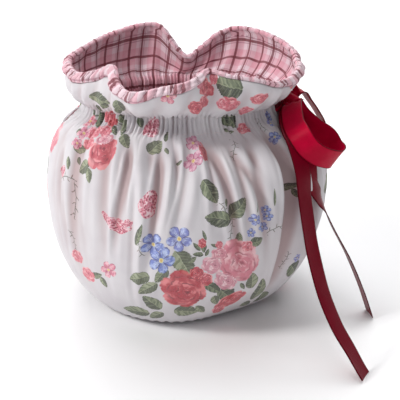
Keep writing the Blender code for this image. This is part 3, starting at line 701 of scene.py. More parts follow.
@dataclass(frozen=True)
class ClothRelief:
    """How far the sewn cloth lifts off the smooth form: folds, gathers, pleats and wrinkles."""

    form: CosyForm
    fold_start: float = 0.010
    ridge_share: float = 0.30
    ridge_place: float = 1.9  # in fold widths from the trough
    ridge_width: float = 0.75
    crease_ridge_share: float = 0.36
    crease_ridge_place: float = 1.8
    crease_ridge_width: float = 0.8
    crease_start_share: float = 0.16
    swell_height: float = 0.0007
    hem_gathers: int = 60
    hem_gather_depth: float = 0.0009
    ridge_drift: float = 1.1
    ridge_unevenness: float = 0.4
    ridge_roundness: float = 0.75
    ridge_lowering: float = 1.35  # brings the ridges' mean to about zero
    gathers: int = 146
    gather_depth: float = 0.00115
    gather_fade: tuple[float, float] = (0.0015, 0.0075)
    tucks: int = 52
    tuck_depth: float = 0.00085
    tuck_fade: tuple[float, float] = (0.006, 0.026)
    fade_above: float = 0.32  # of the frill
    fade_power: float = 1.3
    pleats: int = 26
    pleat_depth: float = 0.0012
    pleat_drift: float = 2.0
    frill_wrinkle_depth: float = 0.0003
    wrinkle_depth: float = 0.00040
    fine_wrinkle_share: float = 0.6

    def folds(self, azimuth: Array, below: Array) -> Array:
        """The hanging folds and creases.

        Args:
            azimuth: The azimuths to read.
            below: How far below the neck's band.

        Returns:
            Relief, negative in a trough.
        """
        relief = np.zeros_like(below)
        for fold in FOLDS:
            turn = turn_between(fold.azimuth, azimuth) / fold.width
            ridges = np.exp(-(((np.abs(turn) - self.ridge_place) / self.ridge_width) ** 2))
            profile = self.ridge_share * ridges - np.exp(-(turn**2))
            fade = np.clip(below / self.fold_start, 0, 1) * np.clip(1 - below / fold.reach, 0, 1)
            relief += fold.depth * profile * fade
        for crease in CREASES:
            along = np.clip((below - crease.start) / (crease.reach - crease.start), 0, 1)
            shift = crease.lean * along + 4 * crease.bow * along * (1 - along)
            turn = turn_between(crease.azimuth, azimuth) - shift
            turn = turn / np.where(turn < 0, crease.width, crease.far_width)
            from_ridge = (np.abs(turn) - self.crease_ridge_place) / self.crease_ridge_width
            profile = self.crease_ridge_share * np.exp(-(from_ridge**2)) - np.exp(-(turn**2))
            fade = smooth_step(0, self.crease_start_share, along)
            relief += crease.depth * profile * fade * (1 - along) ** 0.8
        return relief

    def ridges(self, count: int, seed: int, azimuth: Array) -> Array:
        """Rounded upright ridges round the neck, unevenly spaced.

        Args:
            count: How many there are in all.
            seed: Picks their unevenness.
            azimuth: The azimuths to read.

        Returns:
            Relief about zero, near 1 at most.
        """
        drift = self.ridge_drift * soft_noise(seed, azimuth / 9.0, np.array(0.5))
        ridge = np.abs(np.cos(np.radians(count * azimuth / 2) + drift))
        size = 1 + self.ridge_unevenness * soft_noise(seed + 1, azimuth / 4.0, np.array(0.5))
        return (2 * ridge**self.ridge_roundness - self.ridge_lowering) * size

    def neck(self, azimuth: Array, place: Array, height: Array) -> Array:
        """The neck's fine gathers and broader tucks, which fade out below and above the band.

        Args:
            azimuth: Angles round the pot's axis.
            place: Places between sections.
            height: Heights of the smooth form there.

        Returns:
            The relief, in metres.
        """
        below_band = self.form.section(0, np.array(float(BAND_BOTTOM))) - height
        uneven = 0.5 + 0.5 * soft_noise(13, azimuth / 3.5, np.array(0.5))
        above = np.clip(1 - (place - NECK_TOP) / self.fade_above, 0, 1) ** self.fade_power
        relief = np.zeros_like(height)
        for count, seed, depth, (low, high) in (
            (self.gathers, 11, self.gather_depth, self.gather_fade),
            (self.tucks, 15, self.tuck_depth, self.tuck_fade),
        ):
            below = np.clip(1 - below_band / (low + (high - low) * uneven), 0, 1) ** self.fade_power
            relief += depth * self.ridges(count, seed, azimuth) * np.minimum(below, above)
        return relief

    def frill(self, azimuth: Array, share: Array) -> Array:
        """The soft upright pleats that the gathers become in the frill.

        Args:
            azimuth: Angles round the pot's axis.
            share: How far up the frill, from 0 to 1.

        Returns:
            The relief, in metres.
        """
        drift = self.pleat_drift * soft_noise(21, azimuth / 22.0, share * 1.5)
        wave = np.sin(np.radians(self.pleats * azimuth) + drift)
        rise = np.sin(math.pi * np.clip(share, 0, 1)) ** 0.8
        fine = soft_noise(22, azimuth / 3.0, share * 3)
        return (self.pleat_depth * wave + self.frill_wrinkle_depth * fine) * rise

    def read(self, azimuth: Array, place: Array) -> Array:
        """All the cloth's relief.

        Args:
            azimuth: The azimuths to read.
            place: Their places between sections.

        Returns:
            How far the cloth lifts off the form along its normal.
        """
        height = self.form.points(azimuth, place)[..., 2]
        band = self.form.section(0, np.array(float(BAND_BOTTOM)))
        share = np.clip(place - NECK_TOP, 0, 1)
        on_body = (place < BAND_BOTTOM) & (place > HEM_FOLD)
        relief = np.where(on_body, self.folds(azimuth, band - height), 0.0)
        lift = np.sin(math.pi * np.clip(height / band, 0, 1))
        swells = np.cos(np.radians(3 * (azimuth - 40))) + np.cos(np.radians(5 * (azimuth - 110)))
        relief += np.where(on_body, self.swell_height * lift * swells, 0.0)
        hem = np.clip(1 - np.abs(place - 1.2) / 1.1, 0, 1)
        drift = 1.3 * soft_noise(31, azimuth / 8.0, np.array(0.5))
        relief += self.hem_gather_depth * hem * np.cos(np.radians(self.hem_gathers * azimuth) + drift)
        wrinkle = soft_noise(41, azimuth / 5.0, height / 0.035)
        fine = soft_noise(42, azimuth / 2.2, height / 0.016)
        wrinkle = wrinkle + self.fine_wrinkle_share * fine
        relief += np.where(on_body, self.wrinkle_depth * lift * wrinkle, 0.0)
        return relief + self.neck(azimuth, place, height) + self.frill(azimuth, share)


# ---- meshes


@dataclass
class Surface:
    """One face of a cloth shell, as columns of points with their places on the flat cloth."""

    points: Array
    flat: Array

    @property
    def shape(self) -> tuple[int, int]:
        """How many columns and rows it has."""
        return self.points.shape[0], self.points.shape[1]


def shell_mesh(name: str, outer: Surface, inner: Surface, turned: bool) -> bpy.types.Mesh:
    """Makes a closed shell from its outer and inner face, whose rows may be fewer.

    Args:
        name: The mesh's name.
        outer: The outer face.
        inner: The inner face, with the same columns and an equal or whole share of the rows.
        turned: True where the columns run clockwise, seen from above.

    Returns:
        The mesh, with the cloth's flat places as its UV map and inner faces in slot 1.
    """
    columns, rows = outer.shape
    inner_rows = inner.shape[1]
    ratio = (rows - 1) // (inner_rows - 1)
    top = np.arange(columns * rows).reshape(columns, rows)
    under = columns * rows + np.arange(columns * inner_rows).reshape(columns, inner_rows)

    def quads(grid: Array) -> list[tuple[int, ...]]:
        """The four-sided faces of a grid of points."""
        corners = (grid[:-1, :-1], grid[1:, :-1], grid[1:, 1:], grid[:-1, 1:])
        return [tuple(q) for q in np.stack(corners, axis=-1).reshape(-1, 4).tolist()]

    faces = quads(top)
    borders = []
    for c in range(columns - 1):
        borders.append((top[c, 0], under[c, 0], under[c + 1, 0], top[c + 1, 0]))
        borders.append((top[c, -1], top[c + 1, -1], under[c + 1, -1], under[c, -1]))
    for r in range(inner_rows - 1):
        run = range(r * ratio, (r + 1) * ratio + 1)
        borders.append((*(top[0, k] for k in run), under[0, r + 1], under[0, r]))
        borders.append((*(top[-1, k] for k in reversed(run)), under[-1, r], under[-1, r + 1]))
    faces += [tuple(int(k) for k in face) for face in borders]
    outside = len(faces)
    faces += [face[::-1] for face in quads(under)]
    if turned:
        faces = [face[::-1] for face in faces]
    mesh = bpy.data.meshes.new(name)
    points = np.concatenate((outer.points.reshape(-1, 3), inner.points.reshape(-1, 3)))
    mesh.from_pydata(points.tolist(), [], faces)
    slots = np.zeros(len(faces), np.int32)
    slots[outside:] = 1
    mesh.polygons.foreach_set("material_index", slots)
    flat = np.concatenate((outer.flat.reshape(-1, 2), inner.flat.reshape(-1, 2)))
    set_flat(mesh, flat)
    mesh.shade_smooth()
    return mesh


def set_flat(mesh: bpy.types.Mesh, flat: Array) -> None:
    """Gives a mesh its UV map, in metres on the flat cloth, from a place for each point.

    Args:
        mesh: The mesh.
        flat: A place for each point.
    """
    corners = np.empty(len(mesh.loops), np.int32)
    mesh.loops.foreach_get("vertex_index", corners)
    layer = mesh.uv_layers.new(name="flat")
    layer.uv.foreach_set("vector", flat[corners].astype(np.float32).ravel())


def add_piece(name: str, mesh: bpy.types.Mesh, materials: Sequence[bpy.types.Material]) -> bpy.types.Object:
    """Links a mesh into the scene as a piece on the root body.

    Args:
        name: The piece's name.
        mesh: Its mesh.
        materials: Its materials, in the order of their slots.

    Returns:
        The new object.
    """
    for material in materials[len(mesh.materials) :]:
        mesh.materials.append(material)
    piece = bpy.data.objects.new(name, mesh)
    bpy.context.scene.collection.objects.link(piece)
    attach(piece, "root")
    return piece


# ---- the printed cotton panels


@dataclass(frozen=True)
class BodyPanel:
    """One padded panel, from the drawn-in hem through the neck's band to the frill."""

    side: Side
    form: CosyForm
    relief: ClothRelief
    columns: int = 460
    body_rows: int = 135
    frill_rows: int = 30
    row_ratio: int = 4
    edge_shares: tuple[float, ...] = (0.0, 0.0010, 0.0022, 0.0040, 0.0065, 0.0095)
    inside_shares: tuple[float, float] = (0.014, 0.986)
    hem_spacing: float = 0.0022
    body_spacing: float = 0.0014
    neck_spacing: float = 0.0007
    neck_rows_from: float = 11.3  # a place between two sections
    seam_inset: float = 0.0032
    seam_width: float = 0.0006
    seam_depth: float = 0.00030
    pucker_depth: float = 0.00022
    pucker_length: float = 0.0035
    pucker_reach: float = 0.006
    flat_radius: float = 0.090
    frill_length: float = 0.036
    # relief depths over which the painted crease shade comes in
    shallowest: float = 0.0002
    deepest: float = 0.0030

    @property
    def middle(self) -> float:
        """The azimuth of the panel's middle."""
        return 270.0 if self.side is Side.FRONT else 90.0

    def column_shares(self) -> Array:
        """How far across the panel each column lies, closer together at the sewn edges.

        Returns:
            Shares from 0, at the spout side, to 1.
        """
        edge = np.array(self.edge_shares)
        inside = np.linspace(*self.inside_shares, self.columns - 2 * len(edge))
        return np.concatenate((edge, inside, 1 - edge[::-1]))

    def body_places(self) -> tuple[Array, Array]:
        """The places of the body's rows, spaced along the cloth.

        Returns:
            The places, and the length of cloth below each.
        """
        fine = np.linspace(0, NECK_TOP, 1401)
        points = self.form.points(np.full_like(fine, 250.0), fine)
        length = np.concatenate(([0], np.cumsum(np.linalg.norm(np.diff(points, axis=0), axis=1))))
        spacing = np.where(fine > self.neck_rows_from, self.neck_spacing, self.body_spacing)
        spacing = np.where(fine < HEM_FOLD, self.hem_spacing, spacing)
        count = np.concatenate(([0], np.cumsum(np.diff(length) / spacing[1:])))
        places = np.interp(np.linspace(0, count[-1], self.body_rows), count, fine)
        return places, np.interp(places, fine, length)

    def grid(self) -> tuple[Array, Array, Array]:
        """Azimuths, places and cloth lengths of every column and row.

        Returns:
            The three arrays, with a row for each column of the panel.
        """
        body, length = self.body_places()
        share = self.column_shares()[:, None]
        azimuth = self.form.panel_azimuth(share, body[None, :], self.side)
        neck_azimuth = azimuth[:, -1:]
        rim = self.form.rim(neck_azimuth)
        lip = self.form.share_below_rim(neck_azimuth, rim.turnover + GAP)
        steps = np.arange(1, self.frill_rows + 1)[None, :] / self.frill_rows
        place = np.concatenate((np.broadcast_to(body, azimuth.shape), NECK_TOP + lip * steps), 1)
        azimuth = np.concatenate((azimuth, np.broadcast_to(neck_azimuth, (len(share), len(steps[0])))), 1)
        frill_up = length[-1] + lip * steps * self.frill_length
        up = np.concatenate((np.broadcast_to(length, (len(share), len(body))), frill_up), 1)
        return azimuth, place, up

    def faces(self) -> tuple[Surface, Surface, Array]:
        """The panel's outer and inner face, and how much painted shade each outer point takes, by how deep it
        lies in a fold.

        Returns:
            The outer face, the inner face and the painted crease shade, from 0 to 1.
        """
        azimuth, place, up = self.grid()
        form, normal = self.form.points(azimuth, place), self.form.normals(azimuth, place)
        to_edge = np.minimum(
            np.linalg.norm(form - form[:1], axis=-1), np.linalg.norm(form - form[-1:], axis=-1)
        )
        relief = self.relief.read(azimuth, place)
        pucker = soft_noise(51, up / self.pucker_length, np.array(0.5))
        pucker *= np.exp(-to_edge / self.pucker_reach)
        relief += np.where(place > HEM_FOLD + 0.5, self.pucker_depth * pucker, 0)
        relief -= self.seam_depth * np.exp(-(((to_edge - self.seam_inset) / self.seam_width) ** 2))
        thick = WALL + (LAYER - WALL) * smooth_step(FACING_BOTTOM - 0.22, FACING_BOTTOM - 0.14, place)
        bend = 0.94 * np.clip(1 - to_edge / (thick / 2), 0, 1)
        tuck = thick / 2 * (1 - np.sqrt(1 - bend**2))
        outer = form + normal * (relief - tuck)[..., None] + POT_AXIS
        inner = form + normal * (relief + tuck - thick)[..., None] + POT_AXIS
        outer[..., 2] = np.maximum(outer[..., 2], 0)
        across = np.radians(azimuth - self.middle) * self.flat_radius
        flat = np.stack((across, up), axis=-1)
        every = slice(None, None, self.row_ratio)
        # Painted shade: the deeper the cloth lies in a fold, the darker the cotton paints it.
        painted_crease_shade = smooth_step(self.shallowest, self.deepest, -relief)
        return Surface(outer, flat), Surface(inner[:, every], flat[:, every]), painted_crease_shade

    def print_layers(self, mesh: bpy.types.Mesh, outer: Surface) -> None:
        """Lays each kind of printed motif over the faces, as the place inside the nearest one.

        Args:
            mesh: The panel's mesh, whose outer quads come first.
            outer: Its outer face.
        """
        grid = outer.flat
        corners = np.stack((grid[:-1, :-1], grid[1:, :-1], grid[1:, 1:], grid[:-1, 1:]), axis=2)
        corners = corners.reshape(-1, 4, 2)
        if self.side is Side.BACK:
            corners = corners[:, ::-1]
        middles = corners.mean(axis=1)
        for motif in Motif:
            placed = placements(self.side, motif)
            nearest, least = np.zeros(len(middles), int), np.full(len(middles), np.inf)
            for k, row in enumerate(placed):
                x, y = row.inside(middles)
                far = np.hypot(x, y * motif.slimness)
                nearer = far < least
                nearest[nearer], least[nearer] = k, far[nearer]
            values = np.full((len(mesh.loops), 3), OFF_PRINT, np.float32)
            found = values[: len(middles) * 4].reshape(-1, 4, 3)
            for k, row in enumerate(placed):
                chosen = nearest == k
                x, y = row.inside(corners[chosen])
                found[chosen] = np.stack((x, y, np.full_like(x, row.tint)), axis=-1)
            layer = mesh.attributes.new(motif.value, "FLOAT_VECTOR", "CORNER")
            layer.data.foreach_set("vector", values.ravel())

    def build(self, cotton: bpy.types.Material, check: bpy.types.Material) -> bpy.types.Object:
        """Builds the panel with its print outside and its check lining inside.

        Args:
            cotton: The printed cotton.
            check: The check cotton.

        Returns:
            The panel.
        """
        outer, inner, painted_crease_shade = self.faces()
        name = f"{self.side.value}_panel_cloth"
        mesh = shell_mesh(name, outer, inner, self.side is Side.BACK)
        self.print_layers(mesh, outer)
        # Painted shade in the folds, stored on the points for the cotton to read.
        painted_shade_depths = np.zeros(len(mesh.vertices), np.float32)
        painted_shade_depths[: painted_crease_shade.size] = painted_crease_shade.ravel()
        mesh.attributes.new("painted_crease_shade", "FLOAT", "POINT").data.foreach_set("value", painted_shade_depths)
        piece = add_piece(name, mesh, (cotton, check))
        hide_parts(f"{self.side.value}_panel")
        return piece


@dataclass(frozen=True)
class CollarLining:
    """The check lining of one panel's frill, rolled over the rim as a plump puckered edge."""

    side: Side
    form: CosyForm
    relief: ClothRelief
    columns: int = 420
    neck_rows: int = 20
    frill_rows: int = 30
    roll_radius: float = 0.0021
    bulge: float = 0.0013
    lip_radius: float = 0.0008
    roll_share: float = 0.36
    lip_bends: tuple[float, ...] = (0.0, 25, 50, 75, 90)  # degrees
    roll_bends: tuple[float, ...] = (90.0, 76, 62, 48, 35, 23, 12)
    puckers: int = 100
    pucker_depth: float = 0.00150
    pucker_fade: float = 0.0012
    inner_pucker_share: float = 0.4
    pucker_slant: float = 80  # puckers that a row shifts by, for each metre below the rim
    take_up: float = 0.0060
    take_up_seed: int = 63
    take_up_count: int = 1000  # shifts that the pleats draw on
    check_start: float = 0.0050
    rolled_share: float = 0.5  # of the rolled cloth that shows, as its puckers take up the rest
    rolled_shift: float = 0.0110  # one check, so that the roll lies in a pale band
    puff: float = 0.0012
    flat_radius: float = 0.070
    neck_length: float = 0.015  # of the facing below the frill
    frill_length: float = 0.036

    def rows(self, azimuth: Array) -> tuple[Array, Array, Array]:
        """The rows of the lining at each column's azimuth.

        Args:
            azimuth: One azimuth for each column, as a column of an array.

        Returns:
            Places, and the outer and inner insets from the form.
        """
        rim = self.form.rim(azimuth)
        lip = self.form.share_below_rim(azimuth, rim.turnover)
        neck = np.linspace(FACING_BOTTOM, NECK_TOP, self.neck_rows)[None, :]
        climb = np.arange(1, self.frill_rows + 1)[None, :] / self.frill_rows
        places = [neck + 0 * azimuth, NECK_TOP + lip * climb]
        outer = [np.full_like(place, LAYER + GAP) for place in places]
        inner = [np.full_like(place, WALL) for place in places]
        radius = np.minimum(self.roll_radius, self.roll_share * rim.turnover)
        proud = radius / 2
        centre = radius - proud
        bend = np.radians(np.array(self.lip_bends))[None, :]
        lower = rim.turnover - self.lip_radius * (1 - np.cos(bend))
        straight = np.linspace(0, 1, 7)[None, 1:-1]
        middle = lower[:, -1:] + (radius - lower[:, -1:]) * straight
        arc = np.radians(np.array(self.roll_bends))[None, :]
        upper = radius * (1 - np.cos(arc)) + 0 * azimuth
        below = np.concatenate((lower, middle, upper), axis=1)
        ripple = self.ripple(azimuth, below)
        places.append(NECK_TOP + self.form.share_below_rim(azimuth + 0 * below, below))
        lip_inset = -proud * np.sin(bend)
        swell = self.bulge * np.sin(math.pi * straight) * radius / self.roll_radius
        outer.append(
            np.concatenate((lip_inset, -proud - swell, centre - radius * np.sin(arc)), axis=1)
        )
        inner.append(
            np.concatenate((WALL + 0 * lower, WALL + 0 * middle, centre + radius * np.sin(arc)), axis=1)
        )
        pucker = self.pucker_depth * ripple * radius / self.roll_radius
        outer[-1] -= pucker * smooth_step(0, self.pucker_fade, rim.turnover - below)
        inner[-1] += self.inner_pucker_share * pucker
        return tuple(np.concatenate(part, axis=1) for part in (places, outer, inner))

    def pleat_phase(self, azimuth: Array, below: Array) -> Array:
        """Counts the roll's small slanting pleats round the rim, at lengths below it."""
        drift = 0.5 * soft_noise(61, azimuth / 6.0, np.array(0.5)) + below * self.pucker_slant
        return self.puckers * azimuth / 360 + drift

    def ripple(self, azimuth: Array, below: Array) -> Array:
        """The pleats' relief as a share of their depth."""
        wave = np.abs(np.sin(math.pi * self.pleat_phase(azimuth, below)))
        return (wave**0.8 - 0.6) * (1 + 0.5 * soft_noise(62, azimuth / 3.0, np.array(0.5)))

    def faces(self) -> tuple[Surface, Surface]:
        """The lining's outer and inner face.

        Returns:
            The outer face and the inner face.
        """
        share = np.linspace(0, 1, self.columns)[:, None]
        neck_azimuth = self.form.panel_azimuth(share, np.array([[float(NECK_TOP)]]), self.side)
        place, outer_inset, inner_inset = self.rows(neck_azimuth)
        azimuth = self.form.panel_azimuth(share, place, self.side)
        form, normal = self.form.points(azimuth, place), self.form.normals(azimuth, place)
        relief = self.relief.read(azimuth, place)
        climb = np.clip(place - NECK_TOP, 0, 1)
        puff = np.clip(soft_noise(71, azimuth / 15.0, climb * 1.3) + 0.25, 0, 1)
        inner_inset = inner_inset + self.puff * puff * np.sin(math.pi * np.clip(climb / 0.86, 0, 1))
        outer = form + normal * (relief - outer_inset)[..., None] + POT_AXIS
        inner = form + normal * (relief - inner_inset)[..., None] + POT_AXIS
        across = np.radians(azimuth) * self.flat_radius
        pleat = self.pleat_phase(azimuth, (RIM_PLACE - place) * 0.05).astype(int)
        shifts = np.random.default_rng(self.take_up_seed).uniform(-1, 1, self.take_up_count)
        hidden = self.take_up * shifts[pleat % self.take_up_count]
        pleated = 1 - smooth_step(0.03, 0.08, RIM_PLACE - place)
        length = (place - FACING_BOTTOM) / 3 * self.neck_length
        up = np.where(place > NECK_TOP, self.neck_length + climb * self.frill_length, length)
        rim = self.neck_length + self.frill_length
        over = rim - self.rolled_shift + self.rolled_share * (rim - up)
        over = np.where(outer_inset < LAYER, over, up)
        outer_flat = np.stack((across + hidden, over + self.check_start), axis=-1)
        inner_flat = np.stack((across + hidden * pleated, up + self.check_start), axis=-1)
        return Surface(outer, outer_flat), Surface(inner, inner_flat)

    def build(self, check: bpy.types.Material) -> bpy.types.Object:
        """Builds the lining in check cotton.

        Args:
            check: The check cotton.

        Returns:
            The lining.
        """
        outer, inner = self.faces()
        name = f"{self.side.value}_collar_lining"
        mesh = shell_mesh(name, outer, inner, self.side is Side.BACK)
        piece = add_piece(name, mesh, (check, check))
        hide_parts(f"{self.side.value}_lining")
        return piece


# ---- the satin bow


@dataclass(frozen=True)
class Ribbon:
    """A length of satin ribbon along a route, gathered where the knot grips it."""

    name: str
    route: tuple[Turn, ...]
    both_ends: bool
    held: str
    rests_on: tuple[str, ...]
    thickness: float = 0.00045
    stations: int = 260
    strips: int = 12
    curl: float = 0.00022
    curl_length: float = 0.013
    curl_balance: float = 0.4  # keeps the curled ribbon about its middle line
    gather: float = 0.00060
    gather_reach: float = 0.009
    gather_turn: float = 7.0  # radians of ripple to each half of the width
    selvage_from: float = 0.9  # of half the width
    selvage_thicker: float = 0.35
    step: float = 0.05  # between turns, for the way along
    lowest: float = 0.0003

    def track(self, place: Array) -> tuple[Array, Array, Array]:
        """The route's middle, way across and width at places between its turns.

        Args:
            place: Places between turns.

        Returns:
            Middles, ways across and widths.
        """
        last = range(len(self.route))
        read = [smooth_curve(last, [turn[k] for turn in self.route], place) for k in range(7)]
        middle = np.stack(read[:3], axis=-1)
        middle[..., 2] = np.maximum(middle[..., 2], self.lowest)
        return middle, np.stack(read[3:6], axis=-1), read[6]

    def faces(self) -> tuple[Surface, Surface, float]:
        """The ribbon's two faces and its length.

        Returns:
            The two faces, and the length in metres.
        """
        last = len(self.route) - 1
        place = np.linspace(0, last, self.stations)
        middle, across, width = self.track(place)
        ahead = self.track(np.minimum(place + self.step, last))[0]
        along = unit(ahead - self.track(np.maximum(place - self.step, 0))[0])
        across = unit(across - along * np.sum(across * along, axis=-1, keepdims=True))
        out = np.cross(along, across)
        steps = np.linalg.norm(np.diff(middle, axis=0), axis=1)
        length = np.concatenate(([0], np.cumsum(steps)))
        grip = np.exp(-length / self.gather_reach)
        if self.both_ends:
            grip += np.exp(-(length[-1] - length) / self.gather_reach)
        w = np.linspace(-1, 1, self.strips + 1)[None, :]
        bend = self.curl * (w**2 - self.curl_balance) * np.sin(length / self.curl_length)[:, None]
        bend = bend + self.gather * grip[:, None] * np.cos(self.gather_turn * w + 0.6)
        body = middle[:, None] + across[:, None] * (w * width[:, None] / 2)[..., None] + POT_AXIS
        half = self.thickness / 2 * (1 + self.selvage_thicker * (np.abs(w) > self.selvage_from))
        outer = body + out[:, None] * (bend + half)[..., None]
        inner = body + out[:, None] * (bend - half)[..., None]
        for points in (outer, inner):
            points[..., 2] = np.maximum(points[..., 2], 0)
        flat = np.stack(np.broadcast_arrays(w * RIBBON_WIDTH / 2, length[:, None]), axis=-1)
        return Surface(outer, flat), Surface(inner, flat), float(length[-1])

    def build(self, satin: bpy.types.Material) -> bpy.types.Object:
        """Args:
            satin: The satin.

        Returns:
            The ribbon.
        """
        outer, inner, length = self.faces()
        name = f"{self.name}_satin"
        piece = add_piece(name, shell_mesh(name, outer, inner, False), (satin, satin))
        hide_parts(self.name)
        return piece


@dataclass(frozen=True)
class Knot:
    """The bow's knot: a soft square lump of wrapped ribbon, creased along the wrap."""

    place: Array
    size: tuple[float, float, float] = (0.0112, 0.0112, 0.0108)
    tilt: float = 33
    squareness: float = 4.0
    wraps: int = 9
    wrap_depth: float = 0.055
    wrap_slant: float = 1.4
    wrap_start: float = 0.7
    wrap_level: float = 0.75
    flat_radius: float = 0.006

    def build(self, satin: bpy.types.Material) -> bpy.types.Object:
        """Args:
            satin: The satin.

        Returns:
            The knot.
        """
        body = bmesh.new()
        bmesh.ops.create_icosphere(body, subdivisions=6, radius=1)
        sphere = np.array([vert.co[:] for vert in body.verts])
        mesh = bpy.data.meshes.new("ribbon_knot_satin")
        body.to_mesh(mesh)
        body.free()
        power = np.sum(np.abs(sphere) ** self.squareness, axis=1, keepdims=True)
        points = sphere * np.array(self.size) / (2 * power ** (1 / self.squareness))
        turn = np.arctan2(sphere[:, 2], sphere[:, 1])
        slant = self.wrap_slant * sphere[:, 0]
        crease = np.abs(np.cos(self.wraps / 2 * turn + slant + self.wrap_start))
        points *= (1 + self.wrap_depth * (crease - self.wrap_level))[:, None]
        flat = np.stack((sphere[:, 0] * self.flat_radius, turn * self.flat_radius), axis=-1)
        lean = np.array(Matrix.Rotation(math.radians(self.tilt), 3, "Y"))
        points = points @ lean.T + self.place + POT_AXIS
        mesh.vertices.foreach_set("co", points.astype(np.float32).ravel())
        set_flat(mesh, flat)
        mesh.shade_smooth()
        piece = add_piece("ribbon_knot_satin", mesh, (satin,))
        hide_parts("ribbon_knot")
        return piece


@dataclass(frozen=True)
class Tie:
    """The end of the ribbon that is sewn over the neck's band beside the handle slot."""

    side: Side
    form: CosyForm
    relief: ClothRelief
    span: tuple[float, float] = (7, 22)
    places: tuple[float, float] = (12.75, 13.80)
    lift: float = 0.0012
    thickness: float = 0.0008
    columns: int = 70
    strips: int = 14
    pleat_depth: float = 0.00018
    pleat_turn: float = 11  # radians over the tie's width
    relief_share: float = 0.4  # of the neck's relief that shows through
    relief_limits: tuple[float, float] = (-0.0004, 0.0003)
    flat_radius: float = 0.062
    cut_length: float = 0.0175
    shown_share: float = 0.33  # of the cut, as it lies crumpled in the neck

    def build(self, satin: bpy.types.Material) -> bpy.types.Object:
        """Builds the tie in satin, gathered to the band's height.

        Args:
            satin: The satin.

        Returns:
            The tie.
        """
        turn = np.linspace(*self.span, self.columns)[:, None]
        w = np.linspace(0, 1, self.strips)[None, :]
        azimuth = (-turn if self.side is Side.FRONT else turn) + 0 * w
        place = self.places[0] + (self.places[1] - self.places[0]) * w + 0 * turn
        form, normal = self.form.points(azimuth, place), self.form.normals(azimuth, place)
        under = np.clip(self.relief.read(azimuth, place), *self.relief_limits)
        pleat = self.pleat_depth * np.cos(self.pleat_turn * w + 0.03 * turn) + self.relief_share * under
        outer = form + normal * (self.lift + self.thickness + pleat)[..., None] + POT_AXIS
        inner = form + normal * (self.lift + pleat)[..., None] + POT_AXIS
        flat = np.stack(np.broadcast_arrays(w * RIBBON_WIDTH, np.radians(turn) * self.flat_radius), axis=-1)
        name = f"ribbon_{self.side.value}_tie_satin"
        mesh = shell_mesh(name, Surface(outer, flat), Surface(inner, flat), self.side is Side.FRONT)
        piece = add_piece(name, mesh, (satin, satin))
        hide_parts(f"ribbon_{self.side.value}_tie")
        flat, neck = (RIBBON_WIDTH, self.cut_length), f"{self.side.value}_panel_cloth"
        return piece


# ---- stitches


@dataclass(frozen=True)
class StitchRun:
    """Machine stitches that follow a line on the cloth."""

    places: Array  # points along the line
    faces: Array  # the way that the cloth faces at each


